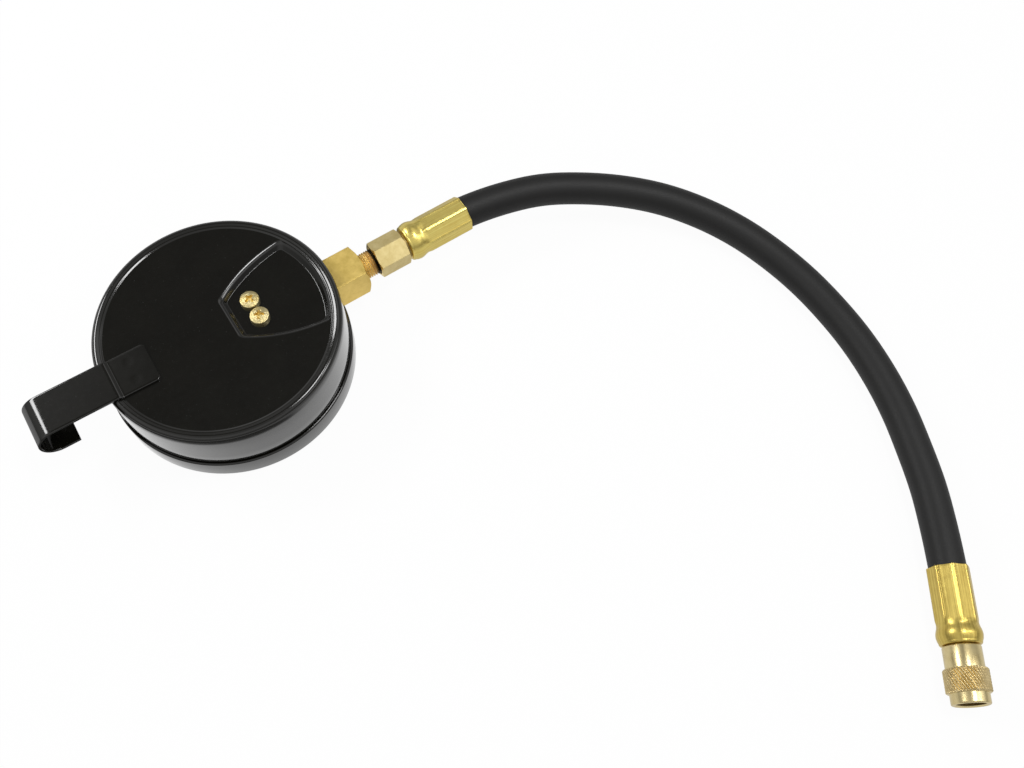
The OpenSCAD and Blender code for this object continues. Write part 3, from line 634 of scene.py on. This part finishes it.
def case_piece():
    """A closed sheet: the outside with its pocket, and the inside with the pocket's underside."""
    body = turned(rim_profile(), 384, on_case)
    inside_z = body[-1][0][2]
    walls = [[(x, y, z) for x, y in pocket_loop(inset)] for inset, z in pocket_wall()]
    under = [[(x, y, z) for x, y in pocket_loop(-SHEET / 2)] for z in (inside_z, POCKET_Z - SHEET)]
    outside = joined(skin(body), skin(walls), pan(walls[-1]), sheet_around(body[0], walls[0]))
    inside = joined(skin(under), pan(under[-1]), sheet_around(body[-1], under[0]))
    return piece("case_body", joined(outside, inside), ["paint"], "case_shell")


def bezel_piece():
    line = [(LIP_R + 1.8, 0.0)] + arc(BEZEL_R - 1.6, 1.6, 1.6, -90, 0, 8) + [(BEZEL_R, 5)]
    line += arc(BEZEL_R - 0.7, BEZEL_H - 0.7, 0.7, 0, 90, 6)
    line += [(SPIGOT_R + 0.05, BEZEL_H), (SPIGOT_R + 0.05, 1.5), (LIP_R + 0.4, 1.5)]
    line += arc(LIP_R + 0.6, 0.9, 0.6, 120, 180, 3) + arc(LIP_R + 0.6, 0.6, 0.6, 180, 270, 5)
    mesh = skin(turned(line, 192, on_case), ring=True)
    return piece("bezel_body", mesh, ["paint"], "bezel_ring")


# Hanging hook
def strap_path():
    """The strap's middle line as (x, z): over the back, up the joggle, along, round the curl and back."""
    low = PANEL_Z + STRAP_THICK / 2
    high = CASE_H + STRAP_THICK / 2
    line = [(-STRAP_START - s, low) for s in (0, 0.08, 0.25, 0.5, 0.9, 1.3, STRAP_CORNER, 2.2)]
    line += [(-x, low) for x in np.linspace(STRAP_START + 3, STRAP_BEND - 1.2, 18)]
    for k in range(1, 9):
        s = k / 8
        line.append((-STRAP_BEND + 1.0 - 1.6 * s, low + (high - low) * (3 - 2 * s) * s * s))
    line += [(-x, high) for x in np.linspace(STRAP_BEND + 1.4, CURL_START - 0.4, 12)]
    line += arc(-CURL_START, high - CURL_R, CURL_R, 90, 270, 40)
    line += [(-CURL_START + s * CURL_RETURN, high - 2 * CURL_R) for s in (0.3, 0.6, 0.85, 0.96, 1.0)]
    return line


def strap_section(half, thick, dip):
    """A loop of (y, height) around the strap, with rounded edges; dip(y) lowers the top."""
    edge = 0.3
    across = [(half - edge) * (k / 12 - 1) for k in range(25)]
    loop = [(y, thick / 2 - dip(y)) for y in across]
    rise = thick / 2 - edge
    for a, level in ((60, rise), (30, rise), (0, 0.0), (-30, -rise), (-60, -rise)):
        loop.append((half - edge + edge * cos(radians(a)), level + edge * sin(radians(a))))
    loop += [(y, -thick / 2) for y in reversed(across)]
    for a, level in ((240, -rise), (210, -rise), (180, 0.0), (150, rise), (120, rise)):
        loop.append((edge - half + edge * cos(radians(a)), level + edge * sin(radians(a))))
    return loop


def hook_piece():
    line = strap_path()
    last = len(line) - 1
    corner_rows = 9
    back_rows = 30
    thin_end = 0.72
    rows = []
    for i, (x, z) in enumerate(line):
        back = Vector(line[max(i - 1, 0)])
        ahead = (Vector(line[min(i + 1, last)]) - back).normalized()
        top = Vector((ahead.y, -ahead.x))
        corner = STRAP_CORNER - limit(-STRAP_START - x, 0.0, STRAP_CORNER) if i < corner_rows else 0.0
        half = STRAP_HALF - STRAP_CORNER + sqrt(STRAP_CORNER ** 2 - corner ** 2)
        thick = STRAP_THICK * (thin_end if i in (0, last) else 1.0)

        def dip(y):
            reach = min(math.hypot(x - DIMPLE_X, y - side * DIMPLE_Y) for side in (-1, 1))
            return DIMPLE_DEPTH * limit(1 - (reach / DIMPLE_R) ** 4) if i < back_rows else 0.0
        row = []
        for y, height in strap_section(half, thick, dip):
            spot = Vector((x + top.x * height - STRAP_TURN_X, y, 0))
            spot.rotate(Matrix.Rotation(STRAP_TURN, 3, "Z"))
            row.append((spot.x + STRAP_TURN_X, spot.y, z + top.y * height))
        rows.append(row)
    return piece("hook_strap", capped(skin(rows), len(rows[0])), ["paint"], "hang_hook")


# Block, thread and hexagon
def square_reach(t, half, corner):
    """Radius at angle t of a square with rounded corners."""
    c = abs(cos(t))
    s = abs(sin(t))
    flat = half - corner
    reach = half / max(c, s)
    if reach * c > flat and reach * s > flat:
        b = flat * (c + s)
        reach = b + sqrt(b * b - 2 * flat * flat + corner * corner)
    return reach


def block(low, high):
    """A plain block hidden inside the case."""
    points = [(x, y, z) for z in (low[2], high[2]) for x in (low[0], high[0]) for y in (low[1], high[1])]
    faces = [(0, 1, 3, 2), (4, 6, 7, 5), (0, 4, 5, 1), (2, 3, 7, 6), (0, 2, 6, 4), (1, 5, 7, 3)]
    uv = [tuple((points[i][0], points[i][1] + points[i][2]) for i in face) for face in faces]
    return points, faces, uv


def socket_piece():
    steps = 160
    thread_steps = 72
    row_step = 0.06
    corner = 0.25
    wall = 44
    lean = BAR_CHAMFER / (BAR_HALF * 0.4)

    def bar(t, r, s):
        """A radius of 0 stands for the square's own reach, with its corners turned off at the end."""
        if r:
            return r, s
        reach = square_reach(t, BAR_HALF, corner)
        return reach, min(s, BAR_X - limit(reach - BAR_HALF * 1.02, 0.0, BAR_HALF) * lean)
    line = [(0, BAR_START), (0, wall), (0, BAR_X)]
    line += [(BAR_HALF * 1.01, BAR_X), (5.3, BAR_X), (4.5, BAR_X + 0.05)]
    bar_mesh = capped(skin(turned(line, steps, on_stem, bar)), steps)

    def groove(t, r, s):
        """A helical thread with a tapered end."""
        phase = ((s - BAR_X) / THREAD_PITCH - t / TURN) % 1.0
        crest = 0.5 - 0.5 * cos(TURN * phase)
        return r + (THREAD_R - THREAD_CORE) * crest - limit(s - BAR_X - THREAD_L + 1.0) * 0.6, s
    core = [(THREAD_CORE, s) for s in np.arange(BAR_X, BAR_X + THREAD_L, row_step)]
    thread = capped(skin(turned(core, thread_steps, on_stem, groove), width=30), thread_steps)
    mesh = joined(bar_mesh, *[block(low, high) for low, high in SOCKET_INSIDE], thread)
    picks = [0] * (len(mesh[1]) - len(thread[1])) + [1] * len(thread[1])
    return piece("socket_body", mesh, ["bar", "thread"], "socket", picks=picks, crease=30)


def hex_piece():
    """The hexagon with its neck and its hose stem, hollow along the axis."""
    steps = 180
    slope = 0.45
    rounding = 6.15
    corner = 7.26
    thread_r = 4.9
    neck_r = 5.2
    stem_r = 3.0
    bore_r = 1.9
    end = HEX_X + HEX_L
    thread_end = HEX_X + 9
    stem_end = FERRULE_X + 6

    def hexagon(t, r, s):
        """A radius of 0 stands for the hexagon's own reach, with its corners turned off at both ends."""
        if r:
            return r, s
        a = (t - HEX_TURN) % (pi / 3) - pi / 6
        reach = min(HEX_FLATS / 2 / cos(a), corner)
        bevel = limit(reach - rounding, 0.0, 2.0) * slope
        return reach, limit(s, HEX_X + bevel, end - bevel)
    line = [(thread_r, HEX_X + 3), (5.15, HEX_X + 1), (5.6, HEX_X), (rounding, HEX_X), (0, HEX_X), (0, end)]
    line += [(rounding, end), (neck_r, end), (neck_r, FERRULE_X), (stem_r, FERRULE_X), (stem_r, stem_end)]
    line += [(bore_r, stem_end), (bore_r, thread_end), (thread_r, thread_end)]
    mesh = skin(turned(line, steps, on_stem, hexagon), ring=True)
    # The neck's row gets the darker brass: painted shade in the gap before the ferrule.
    neck_row = line.index((neck_r, end))
    picks = [1 if i // steps == neck_row else 0 for i in range(len(mesh[1]))]
    return piece("hex_body", mesh, ["hex", "bore"], "hex_coupling", picks=picks, crease=25)


# Crimped ferrules
def ferrule_piece(name, place, node, spin, brass_key):
    """A ferrule from its fitting's end, s = 0: a lip, a bulge, then eight flats up to its mouth."""
    inner = 6.37
    hole = 3.1
    floor_s = 1.0
    flats_start = 6.4
    fade_start = 6.6
    fade_run = 1.8
    mouth_share = 0.6
    mouth_run = 1.2
    mouth_r = 6.84
    wave_height = 0.05
    ridge_height = 0.07
    ridge_width = 0.028
    eighth = TURN / 8
    land_edge = math.acos(FLAT_R / LAND_R)
    knots = [(6.35, 0.0), (6.8, 0.2), (7.05, 0.6), (7.1, 1.0), (7.38, 1.7), (7.58, 2.6), (7.64, 3.4)]
    knots += [(7.54, 4.3), (7.3, 5.2), (7.05, 6.0), (6.95, 6.7), (7.04, 7.5), (LAND_R, 8.5)]
    line = [(p.x, p.y) for p in smooth_route([(r, s, 0) for r, s in knots], 4)]
    line += [(LAND_R, s) for s in np.linspace(9.3, FERRULE_L - 1.3, 12)]
    line += [(LAND_R, FERRULE_L - s) for s in (0.9, 0.55, 0.3, 0.12)]
    line += [(7.0, FERRULE_L - 0.03), (6.85, FERRULE_L), (6.5, FERRULE_L), (6.4, FERRULE_L - 0.1)]
    line += [(inner, FERRULE_L - 0.6), (inner, floor_s), (hole, floor_s), (hole, 0.0)]

    def flats(t, r, s):
        """Presses the flats into the sleeve, with a low ridge by each land and a wavy mouth."""
        if s < flats_start or r <= inner:
            return r, s
        wave = wave_height * cos(8 * (t + spin)) * limit((s - FERRULE_L + 2) / 2)
        if r < mouth_r:
            return r, s + wave
        amount = limit((s - fade_start) / fade_run) * limit(mouth_share + (FERRULE_L - s) / mouth_run)
        a = (t + spin) % eighth - eighth / 2
        ridge = ridge_height * math.exp(-((abs(a) - land_edge) / ridge_width) ** 2)
        return r + (min(FLAT_R / cos(a), LAND_R) + ridge - LAND_R) * amount, s + wave
    mesh = skin(turned(line, 480, place, flats), ring=True, width=44)
    return piece(name, mesh, [brass_key], node, crease=50)


def near_ferrule(p):
    return on_stem((p[0], p[1], FERRULE_X + p[2]))


def far_ferrule(p):
    return on_tool((p[0], p[1], FERRULE_L - p[2]))


# Swivel nut
def nut_piece():
    """The nut's body with its knurled band, and a threaded liner inside it."""
    neck = NUT_S + NUT_NECK
    band = neck + KNURL_L
    end = band + NUT_END
    steps = 450
    count = 42
    lean = 0.6
    depth = 0.5
    band_r = 7.3
    edge_r = 6.9
    hole = 4.25
    core = 4.95
    pitch = 1.27
    thread_depth = 0.55
    thread_end = 37.0
    row_step = 0.084
    relief = 5.3
    liner = 5.6
    seat = 31.0

    def knurl(t, r, s):
        """Two families of slanted grooves, one deep and one shallow, on the rows at band_r."""
        if r != band_r:
            return r, s
        around = t * count / TURN
        along = (s - neck) * count / (TURN * KNURL_R) * lean
        main, cross = [abs((around + way * along) % 1.0 - 0.5) * 2 for way in (1, -1)]
        fade = limit(min((s - neck) / 0.5, (band - s) / 0.5) + 0.1)
        cut = depth * max(1 - limit(main * 1.2), 0.2 * (1 - limit(cross * 1.8)))
        return KNURL_R - 0.5 * (1 - fade) - cut * max(0.15, fade), s

    def slant(s):
        return -limit(s - neck, 0.0, KNURL_L) * lean / KNURL_R
    line = [(hole, NUT_S), (NUT_R - 0.5, NUT_S), (NUT_R - 0.15, NUT_S + 0.12), (NUT_R, NUT_S + 0.4)]
    line += [(NUT_R, neck - 0.25), (NUT_R + 0.02, neck), (edge_r, neck)]
    smooth_rows = len(line)
    line += [(band_r, s) for s in np.linspace(neck + 0.02, band - 0.02, 62)]
    knurl_rows = len(line)
    line += [(edge_r, band), (NUT_R + 0.02, band), (NUT_R, band + 0.2), (NUT_R, end - 0.6)]
    line += arc(NUT_R - 0.5, end - 0.5, 0.5, 0, 90, 5)
    line += [(5.7, end), (5.55, end - 0.05), (core + 0.02, end - 0.55)]
    mouth_row = len(line) - 1
    line += [(liner, s) for s in np.linspace(end - 0.55, seat, 12)] + [(hole, seat)]
    outside = skin(turned(line, steps, on_tool, knurl, slant), ring=True, width=44)

    def thread(t, r, s):
        """A helical groove on the rows at the thread's core."""
        if r != core:
            return r, s
        phase = (s / pitch + t / TURN) % 1.0
        return r + thread_depth * limit(1 - abs(phase - 0.5) * 2.6), s
    bore = [(core, s) for s in np.arange(end - 0.5, thread_end, -row_step)]
    bore += [(relief, thread_end - 0.7), (relief, seat), (liner - 0.01, seat), (liner - 0.01, end - 0.5)]
    inside = skin(turned(bore, 96, on_tool, thread), ring=True, width=32)
    rows = [i // steps for i in range(len(outside[1]))]
    # Painted shade: the nut's inside from just within its mouth, and the threaded liner, get the darker
    # brass.
    picks = [1 if smooth_rows <= row < knurl_rows - 1 else 2 if row >= mouth_row else 0 for row in rows]
    picks += [2] * len(inside[1])
    mesh = joined(outside, inside)
    return piece("nut_body", mesh, ["nut", "knurl", "bore"], "swivel_nut", "nut", picks, 40)


# Cross-head screws in the pocket
def dome_z(r):
    """Height of a screw head's dome at radius r."""
    return SCREW_TOP - SCREW_DOME + sqrt(SCREW_DOME ** 2 - r * r)


def screw_mesh(side, spin):
    """A screw at side = 1 or -1 of the stem's axis; spin turns its cross recess."""
    centre_r = 0.0001
    recess_half = 0.42
    recess_reach = 1.95
    recess_deep = 1.35

    def place(p):
        return (SCREW_X + p[0], side * SCREW_Y + p[1], p[2])

    def head(t, r, s):
        """The domed head, with its cross recess cut where r is inside it."""
        if r > SCREW_R or s <= POCKET_Z:
            return r, s
        a = r * abs(cos(t - spin))
        b = r * abs(sin(t - spin))
        arm = max(a, b)
        wide = recess_half + 0.22 * limit(1 - arm)
        deep = limit((recess_reach - arm) * 1.5, 0.0, recess_deep)
        return r, dome_z(r) - deep * limit((wide + 0.1 - min(a, b)) / 0.16)
    radii = [centre_r, *np.linspace(0.12, 2.3, 22), *np.linspace(2.4, SCREW_R, 7)]
    line = [(r, SCREW_TOP) for r in radii]
    for a in (25, 50, 75, 90):
        edge = SCREW_EDGE * cos(radians(a))
        line.append((SCREW_R + SCREW_EDGE * sin(radians(a)), dome_z(SCREW_R) - SCREW_EDGE + edge))
    line += [(SCREW_R + SCREW_EDGE, POCKET_Z), (SHANK_R, POCKET_Z)]
    line += [(SHANK_R, POCKET_Z - SHANK_L), (centre_r, POCKET_Z - SHANK_L)]
    return skin(turned(line, 96, place, head), width=22)


def in_recess(corners):
    """Whether a face lies inside a screw's cross recess."""
    x, y, z = [sum(c[k] for c in corners) / len(corners) for k in range(3)]
    r = math.hypot(x - SCREW_X, abs(y) - SCREW_Y)
    return r < 2.2 and POCKET_Z < z < dome_z(r) - 0.3


def screws_piece():
    mesh = joined(screw_mesh(1, radians(20)), screw_mesh(-1, radians(62)))
    points, faces = mesh[:2]
    picks = [1 if in_recess([points[i] for i in face]) else 0 for face in faces]
    return piece("back_screws", mesh, ["screw", "recess"], "socket_screws", picks=picks)


# Dial, pointer and lens
def dial_angle(share):
    """Angle of a place on the scale, in radians; the scale sweeps three quarters of a turn."""
    return radians(45 + 270 * share)


def dial_marks():
    """Ticks and an arc on the dial's face, which looks towards -Z."""
    points = []
    faces = []

    def bar(a, inner, outer, half):
        base = len(points)
        for r, q in ((inner, -half), (outer, -half), (outer, half), (inner, half)):
            points.append((r * cos(a) - q * sin(a), r * sin(a) + q * cos(a), PRINT_Z))
        faces.append((base + 3, base + 2, base + 1, base))
    ticks = 50
    for k in range(ticks + 1):
        start, half = LONG_TICK if k % 5 == 0 else SHORT_TICK
        bar(dial_angle(k / ticks), start, TICK_END, half)
    steps = 180
    for k in range(steps):
        bar(dial_angle((k + 0.5) / steps), *SCALE_LINE)
    uv = [tuple(points[i][:2] for i in face) for face in faces]
    return piece("dial_print", (points, faces, uv), ["ink"], None)


def dial_number(value):
    """A number on the dial, as a flat mesh that looks towards -Z."""
    curve = bpy.data.curves.new("number", "FONT")
    curve.body = str(value)
    curve.size = NUMBER_SIZE * MM
    curve.align_x = "CENTER"
    curve.align_y = "CENTER"
    curve.resolution_u = 4
    text = bpy.data.objects.new("number", curve)
    scene.collection.objects.link(text)
    bpy.context.view_layer.update()
    data = bpy.data.meshes.new_from_object(text.evaluated_get(bpy.context.evaluated_depsgraph_get()))
    bpy.data.objects.remove(text)
    a = dial_angle(value / 100)
    spot = Vector((NUMBER_R * cos(a), NUMBER_R * sin(a), PRINT_Z)) * MM
    faced = Matrix(((0, -1, 0, 0), (-1, 0, 0, 0), (0, 0, -1, 0), (0, 0, 0, 1)))
    data.transform(Matrix.Translation(spot) @ faced)
    data.materials.clear()
    data.materials.append(MATERIALS["ink"])
    thing = bpy.data.objects.new("dial_number_%d" % value, data)
    scene.collection.objects.link(thing)
    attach(thing, "gauge")


def pointer_piece():
    face = 6.4
    rest = Matrix.Rotation(dial_angle(0), 3, "Z")
    outline = [(-14.3, 0.35), (-13.9, 1.4), (-12.9, 2.2), (-12, 2.4), (-11, 2.25), (-6, 1.75), (0, 1.2)]
    outline += [(12, 0.87), (24, 0.53), (27, 0.45), (32.6, 0.12), (33, 0.05)]
    rows = []
    for x, half in outline:
        ridge = face + 0.08 - 0.35 * min(0.22, half * 0.5)
        section = [(-half, face + 0.25), (-half * 0.92, face + 0.12), (0, ridge)]
        section += [(half * 0.92, face + 0.12), (half, face + 0.25)]
        section += [(half, face + 0.5), (-half, face + 0.5)]
        rows.append([tuple(rest @ Vector((x, y, z))) for y, z in section])
    blade = capped(skin(rows), len(rows[0]))
    hub = [(1.0, 6.0), (2.1, 6.0), (2.45, 6.12), (2.6, 6.4), (2.6, 8.0), (1.0, 8.0)]
    mesh = joined(blade, skin(turned(hub, 48, on_case), ring=True))
    return piece("pointer_body", mesh, ["pointer"], "pointer", "pointer_train")


def lens_piece():
    steps = 128
    middle = 0.01
    line = [(middle, LENS_FACE), (LENS_R - 0.4, LENS_FACE), (LENS_R, LENS_FACE + 0.2)]
    line += [(LENS_R, LENS_BACK - 0.2), (LENS_R - 0.2, LENS_BACK), (middle, LENS_BACK)]
    disc = capped(skin(turned(line, steps, on_case)), steps)
    return piece("lens_disc", disc, ["glass"], "lens")


# Materials of the CAD nodes that stay as they are
def dress_nodes():
    kept = {
        "gasket": ["lens_gasket", "nut_washer"],
        "dial": ["dial_plate"],
        "steel": ["dial_screws", "stop_pin", "pillar_screws", "movement_screws", "pointer_shaft"],
        "spring": ["hairspring"],
        "movement": ["hairspring_stud", "sector_gear", "link", "tube_tip", "movement_back_plate",
                     "movement_front_plate", "movement_pillars"],
        "tube": ["bourdon_tube"],
        "nut": ["tool_stem", "depressor_pin"],
    }
    for key, names in kept.items():
        for name in names:
            data = nodes[name].data
            data.materials.clear()
            data.materials.append(MATERIALS[key])


# Floor, light and world
def from_view(right, away, up):
    """A point in metres, given right, away and up as the camera sees them."""
    x = right * cos(VIEW_TURN) - away * sin(VIEW_TURN)
    y = right * sin(VIEW_TURN) + away * cos(VIEW_TURN)
    return (x, y, up)


def floor():
    """A white floor that keeps a faint shadow; its lengths are in metres.

    In reflections it is brightest in a narrow band along the gauge's front, a painted pool of light, and it
    shows a painted shadow behind the gauge.
    """
    reach = 3
    drop = 0.00004
    data = bpy.data.meshes.new("floor")
    corners = [(-reach, -reach), (reach, -reach), (reach, reach), (-reach, reach)]
    data.from_pydata([(x, y, -drop) for x, y in corners], [], [(0, 1, 2, 3)])
    thing = bpy.data.objects.new("floor", data)
    scene.collection.objects.link(thing)
    material = bpy.data.materials.new("floor_white")
    material.use_nodes = True
    material.node_tree.nodes.clear()
    tree = Tree(material.node_tree)
    out = tree.new("OutputMaterial")
    rays = tree.new("LightPath")
    matte = tree.new("BsdfDiffuse", Color=(0.95, 0.95, 0.95, 1))
    place, right = tree.view_axes("Object")[:2]
    distance = tree.new("VectorMath", operation="LENGTH")
    tree.join(place, distance.inputs[0])
    far = distance.outputs["Value"]
    # Painted light and shade for reflections: full white within about 57 mm in front and at the right, a
    # dim ring beyond, and a painted shadow behind the gauge.
    painted_light_close = tree.ramp(far, (0.0, 1.0), (0.0575, 1.0), (0.063, 0.1), (0.11, 0.12), (0.16, 0.6), (0.2, 0.75))
    open_side = tree.ramp(far, (0.0, 1.0), (0.056, 1.0), (0.07, 0.6), (0.2, 0.75))
    painted_shadow_behind = tree.ramp(far, (0.0, 0.06), (0.07, 0.1), (0.12, 0.5), (0.2, 0.75))
    front = tree.mix(tree.span(right, 0.04, 0.055), painted_light_close, open_side)
    lean = tree.new("VectorMath", operation="DOT_PRODUCT")
    tree.join(place, lean.inputs[0])
    lean.inputs[1].default_value = (-0.57, 0.82, 0.0)
    mirrored = tree.mix(tree.span(lean.outputs["Value"], 0.0, 0.015), front, painted_shadow_behind)
    seen = tree.new("Emission")
    tree.join(tree.mix(rays.outputs["Is Camera Ray"], mirrored, (1, 1, 1)), seen.inputs["Color"])
    shade = tree.new("MixShader", Fac=0.955)
    tree.join(matte.outputs[0], shade.inputs[1])
    tree.join(seen.outputs[0], shade.inputs[2])
    seen_by = tree.larger(rays.outputs["Is Camera Ray"], rays.outputs["Is Glossy Ray"])
    both = tree.new("MixShader")
    tree.join(tree.larger(seen_by, rays.outputs["Is Transmission Ray"]), both.inputs["Fac"])
    tree.join(matte.outputs[0], both.inputs[1])
    tree.join(shade.outputs[0], both.inputs[2])
    tree.join(both.outputs[0], out.inputs["Surface"])
    data.materials.append(material)


def world():
    """Soft even light and a white background; reflections see a studio of their own.

    Its near side is bright high up, and its far side is dim halfway up. A patch overhead is dark, the far
    left fades upwards, and two glows stand high at the far side and at the right.
    """
    data = bpy.data.worlds.new("studio")
    scene.world = data
    data.use_nodes = True
    data.node_tree.nodes.clear()
    tree = Tree(data.node_tree)
    out = tree.new("OutputWorld")
    rays = tree.new("LightPath")
    way, right, away, up = tree.view_axes("Generated")
    near = tree.ramp(up, (0.0, 0.2), (0.2, 0.25), (0.5, 0.55), (0.75, 0.75), (1.0, 0.36))
    far = tree.ramp(up, (0.0, 0.46), (0.25, 0.42), (0.5, 0.26), (0.72, 0.5), (0.88, 0.5), (1.0, 0.36))
    all_round = tree.mix(tree.span(away, -0.15, 0.35), near, far)
    flag = tree.new("VectorMath", operation="DOT_PRODUCT")
    tree.join(way, flag.inputs[0])
    flag.inputs[1].default_value = (-0.26, 0.45, 0.855)
    dim = tree.span(flag.outputs["Value"], 0.92, 0.975, 1.0, 0.25)
    side = tree.times(tree.span(right, -0.40, -0.27, 1.0, 0.0), tree.span(away, 0.25, 0.35))
    dim = tree.mix(side, dim, tree.ramp(up, (0.55, 1.25), (0.75, 0.68)))
    soft = tree.new("Background", Color=(1, 1, 1, 1), Strength=0.5)
    mirrored = tree.new("Background")
    glow = tree.times(tree.span(right, -0.13, -0.02), tree.span(up, 0.68, 0.76))
    glow = tree.times(glow, tree.span(away, 0.4, 0.5))
    level = tree.mix(glow, tree.times(all_round, dim), (0.95, 0.95, 0.95))
    right_side = tree.times(tree.span(right, 0.66, 0.78), tree.span(up, 0.35, 0.5))
    right_side = tree.times(right_side, tree.span(away, 0.28, 0.42, 1.0, 0.0))
    level = tree.mix(right_side, level, (1.2, 1.2, 1.2))
    tree.join(level, mirrored.inputs["Color"])
    white = tree.new("Background", Color=(1, 1, 1, 1))
    lit = tree.new("MixShader")
    tree.join(rays.outputs["Is Glossy Ray"], lit.inputs["Fac"])
    tree.join(soft.outputs[0], lit.inputs[1])
    tree.join(mirrored.outputs[0], lit.inputs[2])
    both = tree.new("MixShader")
    seen = tree.larger(rays.outputs["Is Camera Ray"], rays.outputs["Is Transmission Ray"])
    tree.join(seen, both.inputs["Fac"])
    tree.join(lit.outputs[0], both.inputs[1])
    tree.join(white.outputs[0], both.inputs[2])
    tree.join(both.outputs[0], out.inputs["Surface"])


def lamp(name, where, size, level):
    """A soft box aimed at the object; level is its brightness as a mirror would show it."""
    data = bpy.data.lights.new(name, "AREA")
    data.shape = "RECTANGLE"
    data.size = size[0]
    data.size_y = size[1]
    data.energy = level * pi * size[0] * size[1]
    thing = bpy.data.objects.new(name, data)
    thing.location = where
    aim = Vector(from_view(0.10, 0.0, 0.0))
    thing.rotation_euler = (aim - Vector(where)).to_track_quat("-Z", "Y").to_euler()
    scene.collection.objects.link(thing)


camera()
hose = hose_piece()
ferrule_piece("ferrule_near", near_ferrule, "ferrule_gauge_end", radians(23.7), "ferrule")
# The far ferrule gets the darker, painted-shade copy of the ferrule brass.
far_end = ferrule_piece("ferrule_far", far_ferrule, "ferrule_tool_end", radians(38.7), "shaded_ferrule")
nut = nut_piece()
hose_line = [tuple(p * MM) for p in hose_path]
hose_length = sum(math.dist(a, b) for a, b in zip(hose_line, hose_line[1:]))
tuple(hose_line[0])
case_piece()
bezel_piece()
hook_piece()
socket_piece()
hex_piece()
screws_piece()
dial_marks()
for number in range(0, 101, 10):
    dial_number(number)
pointer_piece()
lens_piece()
dress_nodes()
floor()
world()
lamp("left_box", from_view(-0.61, 0.27, 0.63), (0.42, 0.21), 11.0)
lamp("top_box", from_view(0.346, 0.03, 0.9), (0.30, 0.18), 13.2)
lamp("right_box", from_view(0.80, 0.04, 0.8), (0.14, 0.24), 7.0)
